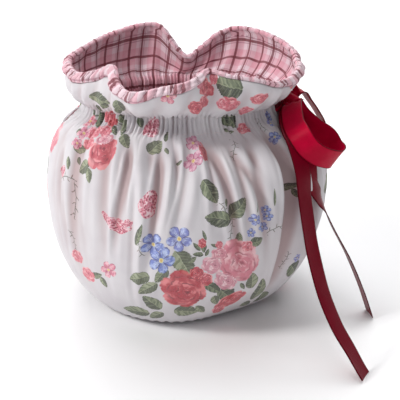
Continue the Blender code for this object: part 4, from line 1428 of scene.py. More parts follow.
@dataclass(frozen=True)
class Stitching:
    """All the stitches of one panel: along its hem, its slots' edges and the neck's casing."""

    side: Side
    panel: BodyPanel
    pitch: float = 0.0027
    length: float = 0.0021
    width: float = 0.00042
    facets: tuple[int, int] = (6, 4)
    uneven: tuple[float, float] = (0.88, 1.06)  # shares of a stitch's length
    seed: int = 5
    rows_at: tuple[float, ...] = (11.62, 13.86)
    hem_at: float = 1.85
    across: tuple[float, float] = (0.012, 0.988)  # shares of the panel that the rows run between
    up: tuple[float, float] = (2.1, 13.4)  # places that the edges' lines run between
    points: tuple[int, int] = (900, 400)  # in each row, and in each edge's line

    def line(self, azimuth: Array, place: Array, sink: float) -> StitchRun:
        """A line of stitches at azimuths and places, sunk a little into the cloth.

        Args:
            azimuth: Angles round the pot's axis.
            place: Places between sections.
            sink: How deep the stitches lie, in metres.

        Returns:
            The line.
        """
        form, relief = self.panel.form, self.panel.relief
        normal = form.normals(azimuth, place)
        lift = relief.read(azimuth, place) - sink
        return StitchRun(form.points(azimuth, place) + normal * lift[..., None] + POT_AXIS, normal)

    def lines(self) -> list[StitchRun]:
        """Every line of stitches on the panel.

        Returns:
            The lines.
        """
        share = np.linspace(*self.across, self.points[0])
        runs = []
        for at in (self.hem_at, *self.rows_at):
            place = np.full_like(share, at)
            azimuth = self.panel.form.panel_azimuth(share, place, self.side)
            runs.append(self.line(azimuth, place, 0.0))
        place = np.linspace(*self.up, self.points[1])
        for edge in (0.0, 1.0):
            azimuth = self.panel.form.panel_azimuth(np.full_like(place, edge), place, self.side)
            inwards = np.degrees(self.panel.seam_inset / self.panel.form.section(2, place))
            towards = 1 if (edge == 0) == (self.side is Side.FRONT) else -1
            runs.append(self.line(azimuth + towards * inwards, place, self.panel.seam_depth))
        return runs

    def path_mesh(self) -> bpy.types.Mesh:
        """The lines as loose edges, with the way that the cloth faces on each point.

        Returns:
            A mesh of edges alone.
        """
        points, faces, edges, start = [], [], [], 0
        for run in self.lines():
            points.append(run.places)
            faces.append(run.faces)
            edges += [(k, k + 1) for k in range(start, start + len(run.places) - 1)]
            start += len(run.places)
        mesh = bpy.data.meshes.new("stitch_lines")
        mesh.from_pydata(np.concatenate(points).tolist(), edges, [])
        out = mesh.attributes.new("out", "FLOAT_VECTOR", "POINT")
        out.data.foreach_set("vector", np.concatenate(faces).astype(np.float32).ravel())
        return mesh

    def tree(self, thread: bpy.types.Material) -> bpy.types.GeometryNodeTree:
        """The node tree that sews a stitch at each pitch along the lines.

        Args:
            thread: The stitches' material.

        Returns:
            The tree, with its sizes and its seed as named inputs.
        """
        tree = bpy.data.node_groups.new("machine_stitches", "GeometryNodeTree")
        face = tree.interface
        face.new_socket("Lines", in_out="INPUT", socket_type="NodeSocketGeometry")
        for name, kind in (("Pitch", "Float"), ("Length", "Float"), ("Width", "Float"), ("Seed", "Int")):
            face.new_socket(name, in_out="INPUT", socket_type=f"NodeSocket{kind}")
        face.new_socket("Stitches", in_out="OUTPUT", socket_type="NodeSocketGeometry")
        add, join = tree.nodes.new, tree.links.new
        given, made = add("NodeGroupInput"), add("NodeGroupOutput")
        curve, spaced = add("GeometryNodeMeshToCurve"), add("GeometryNodeResampleCurve")
        spaced.mode = "LENGTH"
        grain, sewn = add("GeometryNodeMeshUVSphere"), add("GeometryNodeInstanceOnPoints")
        grain.inputs["Segments"].default_value, grain.inputs["Rings"].default_value = self.facets
        grain.inputs["Radius"].default_value = 0.5
        tangent, out = add("GeometryNodeInputTangent"), add("GeometryNodeInputNamedAttribute")
        out.data_type = "FLOAT_VECTOR"
        out.inputs["Name"].default_value = "out"
        lay, tip = add("FunctionNodeAlignRotationToVector"), add("FunctionNodeAlignRotationToVector")
        lay.axis, tip.axis, tip.pivot_axis = "X", "Z", "X"
        vary, scale, size = add("FunctionNodeRandomValue"), add("ShaderNodeMath"), add("ShaderNodeCombineXYZ")
        vary.inputs[2].default_value, vary.inputs[3].default_value = self.uneven
        scale.operation = "MULTIPLY"
        real, dressed = add("GeometryNodeRealizeInstances"), add("GeometryNodeSetMaterial")
        dressed.inputs["Material"].default_value = thread
        join(given.outputs["Lines"], curve.inputs["Mesh"])
        join(curve.outputs["Curve"], spaced.inputs["Curve"])
        join(given.outputs["Pitch"], spaced.inputs["Length"])
        join(spaced.outputs["Curve"], sewn.inputs["Points"])
        join(grain.outputs["Mesh"], sewn.inputs["Instance"])
        join(tangent.outputs["Tangent"], lay.inputs["Vector"])
        join(lay.outputs["Rotation"], tip.inputs["Rotation"])
        join(out.outputs["Attribute"], tip.inputs["Vector"])
        join(tip.outputs["Rotation"], sewn.inputs["Rotation"])
        join(given.outputs["Seed"], vary.inputs["Seed"])
        join(vary.outputs[1], scale.inputs[0])
        join(given.outputs["Length"], scale.inputs[1])
        join(scale.outputs[0], size.inputs["X"])
        join(given.outputs["Width"], size.inputs["Y"])
        join(given.outputs["Width"], size.inputs["Z"])
        join(size.outputs["Vector"], sewn.inputs["Scale"])
        join(sewn.outputs["Instances"], real.inputs["Geometry"])
        join(real.outputs["Geometry"], dressed.inputs["Geometry"])
        join(dressed.outputs["Geometry"], made.inputs["Stitches"])
        return tree

    def build(self, thread: bpy.types.Material) -> bpy.types.Object:
        """Sews the stitches and turns them into a plain mesh.

        Args:
            thread: The thread's material.

        Returns:
            The stitches, as one piece.
        """
        lines = bpy.data.objects.new("stitch_lines", self.path_mesh())
        bpy.context.scene.collection.objects.link(lines)
        sewing = lines.modifiers.new("stitches", "NODES")
        sewing.node_group = self.tree(thread)
        sizes = {"Pitch": self.pitch, "Length": self.length, "Width": self.width, "Seed": self.seed}
        for item in sewing.node_group.interface.items_tree:
            if item.name in sizes:
                sewing[item.identifier] = sizes[item.name]
        graph = bpy.context.evaluated_depsgraph_get()
        mesh = bpy.data.meshes.new_from_object(lines.evaluated_get(graph))
        bpy.data.objects.remove(lines)
        name = f"{self.side.value}_panel_stitches"
        mesh.shade_smooth()
        piece = add_piece(name, mesh, (thread,))
        return piece


# ---- material making


def linear(shown: Colour) -> tuple[float, float, float, float]:
    """A colour as the eye sees it, as the light values that a shader takes."""
    channels = (c / 12.92 if c <= 0.04045 else ((c + 0.055) / 1.055) ** 2.4 for c in shown)
    return (*channels, 1.0)


class Value:
    """A socket of a material being made, on which Python's operators add Math nodes."""

    def __init__(self, bench: Bench, socket: bpy.types.NodeSocket) -> None:
        """Keeps the socket and the bench that it is on."""
        self.bench = bench
        self.socket = socket

    def __add__(self, other: Number) -> Value:
        """This plus another."""
        return self.bench.math("ADD", self, other)

    def __sub__(self, other: Number) -> Value:
        """This minus another."""
        return self.bench.math("SUBTRACT", self, other)

    def __rsub__(self, other: Number) -> Value:
        """Another minus this."""
        return self.bench.math("SUBTRACT", other, self)

    def __mul__(self, other: Number) -> Value:
        """This times another."""
        return self.bench.math("MULTIPLY", self, other)

    def __truediv__(self, other: Number) -> Value:
        """This over another."""
        return self.bench.math("DIVIDE", self, other)

    def __pow__(self, other: Number) -> Value:
        """This to a power."""
        return self.bench.math("POWER", self, other)

    def __abs__(self) -> Value:
        """This without its sign."""
        return self.bench.math("ABSOLUTE", self)

    __radd__, __rmul__ = __add__, __mul__

    def sin(self) -> Value:
        """The sine of this."""
        return self.bench.math("SINE", self)

    def cos(self) -> Value:
        """The cosine of this."""
        return self.bench.math("COSINE", self)

    def root(self) -> Value:
        """The square root of this."""
        return self.bench.math("SQRT", self)

    def part(self) -> Value:
        """What is left of this above the whole number below it."""
        return self.bench.math("FRACT", self)

    def most(self, other: Number) -> Value:
        """The greater of this and another."""
        return self.bench.math("MAXIMUM", self, other)

    def rise(self, low: float, high: float) -> Value:
        """Rises smoothly from 0 at low to 1 at high, or falls where low is the greater.

        Args:
            low: Where the rise starts.
            high: Where the rise ends.

        Returns:
            The share risen.
        """
        turned = low > high
        settings = {"interpolation_type": "SMOOTHSTEP"}
        ends = (high, low) if turned else (low, high)
        node = self.bench.node("ShaderNodeMapRange", settings, {0: self, 1: ends[0], 2: ends[1]})
        risen = Value(self.bench, node.outputs[0])
        return 1 - risen if turned else risen


Number = float | Value


class Bench:
    """A material being made: it adds nodes and joins them to its shader."""

    def __init__(self, name: str) -> None:
        """Starts a material with one Principled shader.

        Args:
            name: The material's name.
        """
        self.material = bpy.data.materials.new(name)
        self.material.use_nodes = True
        self.nodes = self.material.node_tree.nodes
        self.shader = self.nodes["Principled BSDF"]

    def node(
        self,
        kind: str,
        settings: dict[str, object] | None = None,
        inputs: dict[str | int, object] | None = None,
    ) -> bpy.types.Node:
        """Adds a node.

        Args:
            kind: The node's type.
            settings: Its settings, which are set first.
            inputs: Values or links for its sockets, by name or number.

        Returns:
            The new node.
        """
        made = self.nodes.new(kind)
        for key, value in (settings or {}).items():
            setattr(made, key, value)
        for key, value in (inputs or {}).items():
            self.feed(made.inputs[key], value)
        return made

    def feed(self, socket: bpy.types.NodeSocket, value: object) -> None:
        """Sets a socket, or joins it to a link.

        Args:
            socket: The socket.
            value: A number, a colour or a link.
        """
        if isinstance(value, Value):
            value = value.socket
        if isinstance(value, bpy.types.NodeSocket):
            self.material.node_tree.links.new(value, socket)
        else:
            socket.default_value = value

    def math(self, operation: str, *values: Number) -> Value:
        """Adds a Math node on values."""
        node = self.node("ShaderNodeMath", {"operation": operation}, dict(enumerate(values)))
        return Value(self, node.outputs[0])

    def mix(self, share: Number, first: object, second: object, blend: str = "MIX") -> Value:
        """Mixes two colours.

        Args:
            share: How much of the second there is.
            first: A colour as light values, or a link.
            second: The same.
            blend: The way to mix them.

        Returns:
            The mixed colour.
        """
        settings = {"data_type": "RGBA", "blend_type": blend}
        node = self.node("ShaderNodeMix", settings, {0: share, 6: first, 7: second})
        return Value(self, node.outputs[2])

    def ramp(self, share: Number, *colours: Colour) -> Value:
        """Runs evenly through colours as a share goes from 0 to 1.

        Args:
            share: A number from 0 to 1, or a link.
            colours: Two or more colours, evenly spaced.

        Returns:
            The colour there.
        """
        mixed: object = linear(colours[0])
        count = len(colours) - 1
        for k, colour in enumerate(colours[1:]):
            step = share if count == 1 else self.node_rise(share, k / count, (k + 1) / count)
            mixed = self.mix(step, mixed, linear(colour))
        return mixed if isinstance(mixed, Value) else self.mix(0.0, mixed, mixed)

    def node_rise(self, share: Number, low: float, high: float) -> Number:
        """A straight rise from 0 at low to 1 at high."""
        node = self.node("ShaderNodeMapRange", {}, {0: share, 1: low, 2: high})
        return Value(self, node.outputs[0])

    def parts(self, link: object) -> tuple[Value, Value, Value]:
        """The three numbers of a vector."""
        node = self.node("ShaderNodeSeparateXYZ", {}, {0: link})
        return tuple(Value(self, socket) for socket in node.outputs)

    def vector(self, x: Number, y: Number, z: Number = 0.0) -> Value:
        """A vector of three numbers."""
        return Value(self, self.node("ShaderNodeCombineXYZ", {}, {0: x, 1: y, 2: z}).outputs[0])

    def flat(self) -> tuple[Value, Value]:
        """The place on the flat cloth, across and up, in metres."""
        node = self.node("ShaderNodeUVMap", {"uv_map": "flat"})
        return self.parts(node.outputs[0])[:2]

    def noise(self, across: Number, up: Number, scale: float, detail: float = 2.0) -> Value:
        """Noise from 0 to 1 over the flat cloth, with a scale in cells to the metre."""
        inputs = {"Vector": self.vector(across, up), "Scale": scale, "Detail": detail}
        return Value(self, self.node("ShaderNodeTexNoise", {}, inputs).outputs[0])

    def bump(self, height: Value, distance: float, strength: float = 1.0) -> Value:
        """A normal raised by a height, whose full depth is a distance in metres."""
        inputs = {"Strength": strength, "Distance": distance, "Height": height}
        return Value(self, self.node("ShaderNodeBump", {}, inputs).outputs[0])

    def finish(
        self,
        colour: Value,
        roughness: Value | float,
        normal: Value | None = None,
        constants: dict[str, float] | None = None,
    ) -> bpy.types.Material:
        """Feeds the shader.

        Args:
            colour: The base colour.
            roughness: The roughness.
            normal: A raised normal, or None for a flat face.
            constants: Fixed values of other sockets, by name.

        Returns:
            The finished material.
        """
        inputs = self.shader.inputs
        self.feed(inputs["Base Color"], colour)
        self.feed(inputs["Roughness"], roughness)
        if normal is not None:
            self.feed(inputs["Normal"], normal)
        for name, value in (constants or {}).items():
            inputs[name].default_value = value
        return self.material


# ---- finishes


class Petals(NamedTuple):
    """A ring of a rose: its edge, its petals and how they scallop it, their turn, and its shift."""

    edge: float
    count: int
    scallop: float
    turn: float
    shift: float


@dataclass(frozen=True)
class PrintLayer:
    """One printed layer: where it covers the cloth, and its colour there."""

    cover: Value
    colour: Value


@dataclass(frozen=True)
class FloralCotton:
    """White cotton printed with roses, small blossoms, leaves and sprays, with painted shade in its folds."""

    ground: Colour = (0.852, 0.838, 0.850)
    ground_shade: Colour = (0.822, 0.804, 0.820)
    # the tone of the painted shade in folds, creases and the neck's gathers
    painted_crease_shade_tone: Colour = (0.79, 0.67, 0.66)
    rose_rings: tuple[Petals, ...] = (
        Petals(0.98, 6, 0.16, 0.4, 0.00),
        Petals(0.70, 5, 0.16, 1.9, 0.05),
        Petals(0.42, 4, 0.20, 0.3, 0.12),
        Petals(0.19, 3, 0.30, 1.1, 0.16),
    )
    unevenness: float = 0.16  # of an outline, as a share of its motif's size
    weave: float = 2400  # threads to the metre, in pairs
    roughness: float = 0.86

    def place(self, bench: Bench, motif: Motif, wobble: Value) -> tuple[Value, Value, Value]:
        """The place inside the nearest motif of a kind, a little uneven as if painted.

        Args:
            bench: Where the nodes go.
            motif: The kind of motif.
            wobble: The unevenness, from 0 to 1.

        Returns:
            The place along and across the motif, and its tint.
        """
        node = bench.node("ShaderNodeAttribute", {"attribute_name": motif.value})
        x, y, tint = bench.parts(node.outputs["Vector"])
        return x + (wobble - 0.5) * self.unevenness, y + (wobble - 0.5) * self.unevenness, tint

    def rose(self, bench: Bench, wobble: Value, wash: Value) -> PrintLayer:
        """Roses of ringed, scalloped petals, brushed from pale pink to red.

        Args:
            bench: The bench of the cotton's material.
            wobble: Noise that makes outlines uneven.
            wash: Noise that varies the paint.

        Returns:
            The layer.
        """
        x, y, tint = self.place(bench, Motif.ROSE, wobble)
        dark = bench.ramp(tint, (0.66, 0.34, 0.42), (0.64, 0.22, 0.30), (0.46, 0.08, 0.14))
        middle = bench.ramp(tint, (0.86, 0.58, 0.64), (0.87, 0.43, 0.49), (0.74, 0.21, 0.26))
        light = bench.ramp(tint, (0.97, 0.84, 0.86), (0.96, 0.72, 0.74), (0.91, 0.52, 0.53))
        patch = bench.noise(x + tint * 7, y, 1.7, 1.0)
        colour, cover = dark, None
        for ring in self.rose_rings:
            right, raised = x - ring.shift, y - ring.shift * 0.6
            far = (right * right + raised * raised).root()
            turn = bench.math("ARCTAN2", raised, right)
            petal = abs((turn * (ring.count / 2) + ring.turn + far * 1.1 + patch * 1.6).sin())
            edge = (1 - ring.scallop + petal**0.7 * ring.scallop) * ring.edge
            across = far / edge
            brush = bench.noise(turn * 0.7 + ring.turn * 9, far * 2.2, 1.9, 1.0)
            shade = across * 0.60 + (brush - 0.5) * 1.5 + (patch - 0.5) * 1.6 + (wash - 0.5) * 0.15
            lit = bench.mix(shade.rise(-0.25, 0.25), dark, middle)
            lit = bench.mix(shade.rise(0.35, 0.85), lit, light)
            inside = across.rise(1.0, 0.93)
            shadow = across.rise(1.20, 1.0) * (brush.rise(0.35, 0.65) * 0.7)
            if cover is None:
                colour, cover = lit, inside
            else:
                colour = bench.mix(shadow, colour, dark)
                colour = bench.mix(inside, colour, lit)
        return PrintLayer(cover, bench.mix(far.rise(0.12, 0.03) * 0.85, colour, dark))

    def blossom(self, bench: Bench, wobble: Value, wash: Value) -> PrintLayer:
        """Five-petalled blossoms, blue or pink, with a yellow eye.

        Args:
            bench: The bench of the cotton's material.
            wobble: Noise that makes outlines uneven.
            wash: Noise that varies the paint.

        Returns:
            The layer.
        """
        x, y, tint = self.place(bench, Motif.BLOSSOM, wobble)
        far = (x * x + y * y).root()
        turn = bench.math("ARCTAN2", y, x)
        petal = abs((turn * 2.5).cos())
        edge = petal**0.35 * 0.62 + 0.37
        across = far / edge
        vein = abs((turn * 12.5).cos()).rise(0.55, 1.0) * far.rise(0.75, 0.25)
        deep = bench.ramp(tint, (0.17, 0.19, 0.45), (0.66, 0.24, 0.36))
        body = bench.ramp(tint, (0.43, 0.50, 0.79), (0.86, 0.48, 0.56))
        pale = bench.ramp(tint, (0.74, 0.80, 0.94), (0.96, 0.76, 0.79))
        brush = bench.noise(x + tint * 3, y, 2.6, 2.0)
        light = (brush - 0.5) * 2.6 + (wash - 0.5) * 0.8 + petal * 0.35 + 0.10
        colour = bench.mix(light.rise(0.05, 0.75), body, pale)
        colour = bench.mix(across.rise(0.84, 0.97) * brush.rise(0.60, 0.42) * 0.9, colour, deep)
        colour = bench.mix(petal.rise(0.34, 0.12) * far.rise(0.2, 0.3) * 0.75, colour, deep)
        colour = bench.mix(vein * 0.75, colour, deep)
        eye = bench.ramp(far.rise(0.0, 0.18), (0.80, 0.62, 0.28), (0.93, 0.90, 0.62))
        colour = bench.mix(far.rise(0.18, 0.14), colour, eye)
        return PrintLayer(across.rise(1.0, 0.94), colour)

    def leaf(self, bench: Bench, wobble: Value) -> PrintLayer:
        """Veined leaves with a light and a dark half.

        Args:
            bench: The bench of the cotton's material.
            wobble: Noise that makes outlines uneven.

        Returns:
            The layer.
        """
        x, y, tint = self.place(bench, Motif.LEAF, wobble)
        teeth = (x * 9).part() * 0.05
        width = (1 - x * x).most(0.0) ** 0.75 * (0.50 - x * 0.14) + teeth
        out = abs(y) / width.most(0.02)
        half = y.rise(-0.03, 0.03)
        vein = ((x - abs(y) * 0.9) * 4.2).part()
        vein = abs(vein - 0.5).rise(0.13, 0.03) * out.rise(1.0, 0.4)
        midrib = abs(y).rise(0.055, 0.02)
        deep = bench.ramp(tint, (0.30, 0.33, 0.24), (0.12, 0.16, 0.10))
        green = bench.ramp(tint, (0.49, 0.53, 0.39), (0.29, 0.35, 0.23))
        pale = bench.ramp(tint, (0.74, 0.76, 0.64), (0.60, 0.64, 0.50))
        patch = bench.noise((x - abs(y) * 0.9) * 2.0 + tint * 5, y * 0.7, 2.2, 1.0)
        colour = bench.mix(half * 0.75 + (patch - 0.5) * 1.8, green, deep)
        colour = bench.mix((patch + (1 - half) * 0.10).rise(0.52, 0.72) * 0.65, colour, pale)
        colour = bench.mix(vein * 0.35, colour, pale)
        colour = bench.mix(midrib * 0.8, colour, bench.mix(half, pale, deep))
        colour = bench.mix(out.rise(0.82, 0.96) * (1 - patch.rise(0.52, 0.60) * 0.5), colour, deep)
        inside = out.rise(1.0, 0.93) * abs(x).rise(1.0, 0.98)
        return PrintLayer(inside, colour)

    def dotted(self, bench: Bench, wobble: Value, wash: Value) -> PrintLayer:
        """Pink lobed shapes sprinkled with pale and dark dots.

        Args:
            bench: The bench of the cotton's material.
            wobble: Noise that makes outlines uneven.
            wash: Noise that varies the paint.

        Returns:
            The layer.
        """
        x, y, tint = self.place(bench, Motif.DOTTED, wobble)
        far = (x * x + y * y * 1.6).root()
        turn = bench.math("ARCTAN2", y, x)
        edge = (turn * 3 + tint * 5).cos() * 0.12 + 0.86
        dots = bench.node(
            "ShaderNodeTexVoronoi", {"feature": "F1"}, {"Vector": bench.vector(x, y), "Scale": 7.0}
        )
        dot = Value(bench, dots.outputs["Distance"])
        colour = bench.mix(wash.rise(0.3, 0.7), linear((0.90, 0.60, 0.66)), linear((0.80, 0.38, 0.47)))
        colour = bench.mix(dot.rise(0.60, 0.72), colour, linear((0.94, 0.83, 0.85)))
        colour = bench.mix(dot.rise(0.38, 0.28), colour, linear((0.50, 0.13, 0.22)))
        return PrintLayer((far / edge).rise(1.0, 0.93), colour)

    def twig(self, bench: Bench, wobble: Value, wash: Value) -> PrintLayer:
        """Thin curling stems with small buds and leaflets to both sides.

        Args:
            bench: The bench of the cotton's material.
            wobble: Noise that makes outlines uneven.
            wash: Noise that varies the paint.

        Returns:
            The layer.
        """
        x, y, tint = self.place(bench, Motif.TWIG, wobble)
        bent = y - (x * 2.6 + tint * 6).sin() * 0.14
        stem = abs(bent).rise(0.045, 0.02)
        step = x * 3.5
        side = ((step * 0.5).part() - 0.5).rise(-0.01, 0.01) * 2 - 1
        along = (step.part() - 0.5) * 0.55
        off = bent - side * (along + 0.16)
        leaflet = ((along * 6.0) ** 2.0 + (off * 11) ** 2.0).rise(1.0, 0.7)
        cover = stem.most(leaflet) * abs(x).rise(1.0, 0.94)
        colour = bench.ramp(tint, (0.42, 0.44, 0.38), (0.30, 0.33, 0.28))
        colour = bench.mix(leaflet * (wash.rise(0.45, 0.6)), colour, linear((0.62, 0.52, 0.50)))
        return PrintLayer(cover * 0.9, colour)

    def material(self) -> bpy.types.Material:
        """Makes the printed cotton.

        Returns:
            The material.
        """
        bench = Bench("floral cotton")
        u, v = bench.flat()
        wobble = bench.noise(u, v, 420, 2.0)
        wash = bench.noise(u, v, 900, 3.0)
        cloudy = bench.noise(u, v, 45, 2.0)
        colour = bench.mix(cloudy.rise(0.35, 0.7), linear(self.ground), linear(self.ground_shade))
        for layer in (
            self.twig(bench, wobble, wash),
            self.leaf(bench, wobble),
            self.dotted(bench, wobble, wash),
            self.rose(bench, wobble, wash),
            self.blossom(bench, wobble, wash),
        ):
            colour = bench.mix(layer.cover * (0.90 + (wash - 0.5) * 0.25), colour, layer.colour)
        # Painted shade: a tan-pink tone multiplied in where the cloth lies deep in folds, creases and
        # gathers.
        painted_crease_shade = Value(bench, bench.node("ShaderNodeAttribute", {"attribute_name": "painted_crease_shade"}).outputs["Fac"])
        colour = bench.mix(painted_crease_shade * 0.75, colour, linear(self.painted_crease_shade_tone), "MULTIPLY")
        warp, weft = (u * (self.weave * math.pi)).sin(), (v * (self.weave * math.pi)).sin()
        thread = warp * weft
        slub = bench.noise(u * 0.2, v, 2600, 1.0)
        colour = bench.mix(thread * 0.03 + slub * 0.05, colour, linear((0.62, 0.58, 0.62)))
        bump = bench.bump(thread * 0.35 + slub + cloudy * 2.0, 0.00010, 0.5)
        rough = self.roughness + (slub - 0.5) * 0.10
        return bench.finish(colour, rough, bump, {"Sheen Weight": 0.12, "Sheen Roughness": 0.5})


@dataclass(frozen=True)
class CheckCotton:
    """Yarn-dyed check cotton: maroon lines, with pink bands and pale ones with grey threads between."""

    ground: Colour = (0.885, 0.790, 0.820)
    band: Colour = (0.820, 0.480, 0.555)
    faint: Colour = (0.580, 0.300, 0.390)
    line: Colour = (0.430, 0.030, 0.130)
    pitch: tuple[float, float] = (0.0098, 0.0110)
    line_width: float = 0.00165
    faint_width: float = 0.00055
    faint_shift: float = 0.0017
    soft_edge: float = 0.00022
    strengths: tuple[float, float, float] = (0.42, 0.55, 0.86)  # of bands, threads and lines
    weave: float = 2200
    roughness: float = 0.88

    def stripes(self, at: Value, pitch: float) -> tuple[Value, Value, Value]:
        """Cover of the pink bands, the grey threads and the maroon lines across one set of yarns.

        Args:
            at: Metres across these yarns.
            pitch: Metres from one line to the next.

        Returns:
            The three covers, from 0 to 1.
        """
        to_line = abs((at / pitch).part() - 0.5) * pitch
        to_pale = abs((at / (2 * pitch) + 0.25).part() - 0.5) * (2 * pitch)
        soft = self.soft_edge
        band = to_pale.rise(pitch / 2 - soft, pitch / 2 + soft)
        threads = abs(to_pale - self.faint_shift)
        faint = threads.rise(self.faint_width / 2 + soft, self.faint_width / 2 - soft)
        line = to_line.rise(self.line_width / 2 + soft, self.line_width / 2 - soft)
        return band, faint, line

    def material(self) -> bpy.types.Material:
        """Makes the check cotton.

        Returns:
            The material.
        """
        bench = Bench("check cotton")
        u, v = bench.flat()
        fade = bench.noise(u, v, 300, 2.0)
        colour: object = linear(self.ground)
        sets = (self.stripes(u, self.pitch[0]), self.stripes(v, self.pitch[1]))
        for kind, tone in enumerate((self.band, self.faint, self.line)):
            for stripes in sets:
                cover = stripes[kind] * (self.strengths[kind] + (fade - 0.5) * 0.3)
                colour = bench.mix(cover, colour, linear(tone))
        thread = (u * (self.weave * math.pi)).sin() * (v * (self.weave * math.pi)).sin()
        slub = bench.noise(u, v, 1900, 2.0)
        colour = bench.mix(thread * 0.05 + slub * 0.08, colour, linear((0.96, 0.92, 0.93)))
        bump = bench.bump(thread * 0.4 + slub, 0.00010, 0.6)
        rough = self.roughness + (slub - 0.5) * 0.1
        return bench.finish(colour, rough, bump, {"Sheen Weight": 0.10, "Sheen Roughness": 0.5})


@dataclass(frozen=True)
class RibbonSatin:
    """Crimson satin ribbon: a close weft, a soft gloss, woven selvages and painted shade along its edges."""

    name: str = "crimson satin"
    body: Colour = (0.740, 0.012, 0.200)
    deep: Colour = (0.540, 0.008, 0.115)
    # the painted shade on the ribbon's outer edges and cut rims
    edge: Colour = (0.260, 0.000, 0.050)
    weft: float = 5200
    selvage_at: tuple[float, float] = (0.0060, 0.0063)
    painted_rim_shade_at: tuple[float, float] = (0.0064, 0.0067)
    roughness: float = 0.36

    def material(self) -> bpy.types.Material:
        """Makes the satin.

        Returns:
            The material.
        """
        bench = Bench(self.name)
        u, v = bench.flat()
        weft = (v * (self.weft * math.pi)).sin()
        streak = bench.noise(u * 6.0, v * 0.35, 900, 2.0)
        soft = bench.noise(u, v, 160, 1.0)
        selvage = abs(u).rise(*self.selvage_at)
        share = (streak - 0.5) * 0.7 + soft * 0.5 + selvage * 0.35
        colour = bench.mix(share, linear(self.body), linear(self.deep))
        # Painted shade: the outermost edge of the ribbon, and its cut rims, turn nearly black-red.
        colour = bench.mix(abs(u).rise(*self.painted_rim_shade_at) * 0.8, colour, linear(self.edge))
        rough = self.roughness + (streak - 0.5) * 0.16 + selvage * 0.12 + weft * 0.02
        bump = bench.bump(weft * 0.3 + streak * 1.2 + selvage, 0.00005, 0.6)
        return bench.finish(colour, rough, bump, {"Specular IOR Level": 0.07})


@dataclass(frozen=True)
class SewingThread:
    """Off-white sewing thread."""

    body: Colour = (0.90, 0.86, 0.86)

    def material(self) -> bpy.types.Material:
        """Makes the thread, twisted by bands on Object coordinates.

        Returns:
            The material.
        """
        bench = Bench("sewing thread")
        place = bench.node("ShaderNodeTexCoord").outputs["Object"]
        inputs = {"Vector": place, "Scale": 1500.0, "Detail": 2.0}
        twist = Value(bench, bench.node("ShaderNodeTexNoise", {}, inputs).outputs[0])
        colour = bench.mix(twist * 0.5, linear(self.body), linear((0.74, 0.68, 0.70)))
        return bench.finish(colour, 0.7 + (twist - 0.5) * 0.2, bench.bump(twist, 0.0001))


# ---- the studio


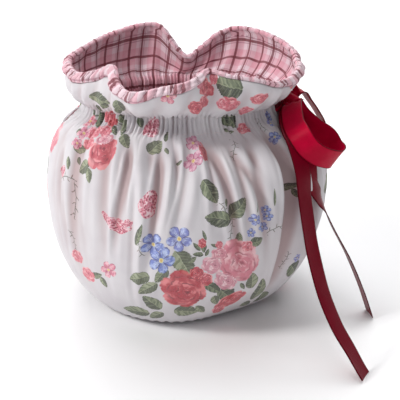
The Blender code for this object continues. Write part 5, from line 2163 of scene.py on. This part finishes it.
@dataclass(frozen=True)
class Studio:
    """A plain pale floor, soft light and the camera."""

    pitch: float = 20
    distance: float = 0.600
    focal_share: float = 902 / 400  # focal length over the frame's width
    target: Place = (0.0086, 0.0, 0.0617)  # from the pot's axis
    floor_half: float = 4.0

    def aim(self, thing: bpy.types.Object, place: Vector, target: Vector) -> None:
        """Puts a light or the camera at a place, turned to a target.

        Args:
            thing: The light or camera.
            place: Where it goes.
            target: What it faces.
        """
        thing.location = place
        thing.rotation_mode = "QUATERNION"
        thing.rotation_quaternion = (target - place).to_track_quat("-Z", "Y")

    def camera(self) -> None:
        """Adds the camera."""
        lens = bpy.data.cameras.new("camera")
        lens.sensor_width = 36
        lens.lens = 36 * self.focal_share
        lens.clip_start, lens.clip_end = 0.01, 20
        camera = bpy.data.objects.new("camera", lens)
        bpy.context.scene.collection.objects.link(camera)
        bpy.context.scene.camera = camera
        target = Vector(POT_AXIS) + Vector(self.target)
        pitch = math.radians(self.pitch)
        back = Vector((0, -math.cos(pitch), math.sin(pitch)))
        self.aim(camera, target + back * self.distance, target)

    def light(
        self,
        name: str,
        place: Place,
        size: float,
        energy: float,
        tone: Colour,
        target: Place = (0, 0, 0.08),
    ) -> None:
        """Adds a soft square light that faces the cosy, or another target.

        Args:
            name: The light's name.
            place: Where it stands.
            size: Its side, in metres.
            energy: Its power, in watts.
            tone: Its colour.
            target: What it faces.
        """
        lamp = bpy.data.lights.new(name, "AREA")
        lamp.energy, lamp.size, lamp.color = energy, size, tone
        light = bpy.data.objects.new(name, lamp)
        bpy.context.scene.collection.objects.link(light)
        self.aim(light, Vector(place), Vector(target))

    def floor(self) -> None:
        """Adds the floor."""
        half = self.floor_half
        mesh = bpy.data.meshes.new("floor")
        corners = [(-half, -half, 0), (half, -half, 0), (half, half, 0), (-half, half, 0)]
        mesh.from_pydata(corners, [], [(0, 1, 2, 3)])
        bench = Bench("pale floor")
        place = bench.node("ShaderNodeTexCoord").outputs["Object"]
        grain = bench.node("ShaderNodeTexNoise", {}, {"Vector": place, "Scale": 3.0})
        share = Value(bench, grain.outputs[0])
        tone = bench.mix(share, linear((0.965, 0.965, 0.97)), linear((0.975, 0.975, 0.975)))
        mesh.materials.append(bench.finish(tone, 0.9))
        floor = bpy.data.objects.new("floor", mesh)
        bpy.context.scene.collection.objects.link(floor)

    def build(self) -> None:
        """Sets up the floor, the light and the camera."""
        bpy.context.scene.view_settings.view_transform = "Standard"
        world = bpy.data.worlds.new("studio")
        bpy.context.scene.world = world
        world.use_nodes = True
        sky = world.node_tree.nodes["Background"]
        sky.inputs["Color"].default_value = (0.97, 0.98, 1.0, 1)
        sky.inputs["Strength"].default_value = 0.27
        self.light("key", (-1.05, -0.45, 0.95), 0.30, 12.2, (1.0, 0.99, 0.98))
        self.light("fill", (0.10, -0.90, 1.15), 0.5, 1.6, (1.0, 0.98, 0.98))
        self.light("top", (-0.10, 0.20, 1.30), 0.8, 4.0, (0.98, 0.99, 1.0))
        self.light("backdrop", (0.0, 2.0, 1.6), 2.6, 60.0, (1.0, 1.0, 1.0), (0.0, 1.6, 0.0))
        self.floor()
        self.camera()


def main() -> None:
    """Builds the cosy's pieces in order and reports each."""
    logging.basicConfig(level=logging.INFO, format="%(message)s")
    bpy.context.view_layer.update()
    form = CosyForm()
    relief = ClothRelief(form)
    cotton, check = FloralCotton().material(), CheckCotton().material()
    satin, thread = RibbonSatin().material(), SewingThread().material()
    # Painted shade: the tails take a darker copy of the satin, for the shade that they hang in.
    painted_shade_satin = RibbonSatin("painted shade satin", (0.490, 0.004, 0.118), (0.360, 0.002, 0.076)).material()
    pieces = []
    for side in Side:
        panel = BodyPanel(side, form, relief)
        cloth = panel.build(cotton, check)
        stitches = Stitching(side, panel).build(thread)
        lining = CollarLining(side, form, relief).build(check)
        pieces += [cloth, stitches, lining]
    shoulder, loops = "front_panel_cloth", ("ribbon_knot_satin",)
    knot = Knot(np.array((0.0666, -0.0015, 0.1284)))
    pieces.append(knot.build(satin))
    for ribbon, finish in (
        (Ribbon("ribbon_near_loop", NEAR_LOOP, True, "folded", loops), satin),
        (Ribbon("ribbon_far_loop", FAR_LOOP, True, "folded", loops), satin),
        (Ribbon("ribbon_near_tail", NEAR_TAIL, False, "hung", (*loops, shoulder)), painted_shade_satin),
        (Ribbon("ribbon_far_tail", FAR_TAIL, False, "hung", (*loops, shoulder)), painted_shade_satin),
    ):
        pieces.append(ribbon.build(finish))
    pieces += [Tie(side, form, relief).build(satin) for side in Side]
    Studio().build()
    for piece in pieces:
        LOG.info("%s: %d faces", piece.name, len(piece.data.polygons))


if __name__ == "__main__":
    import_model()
    main()
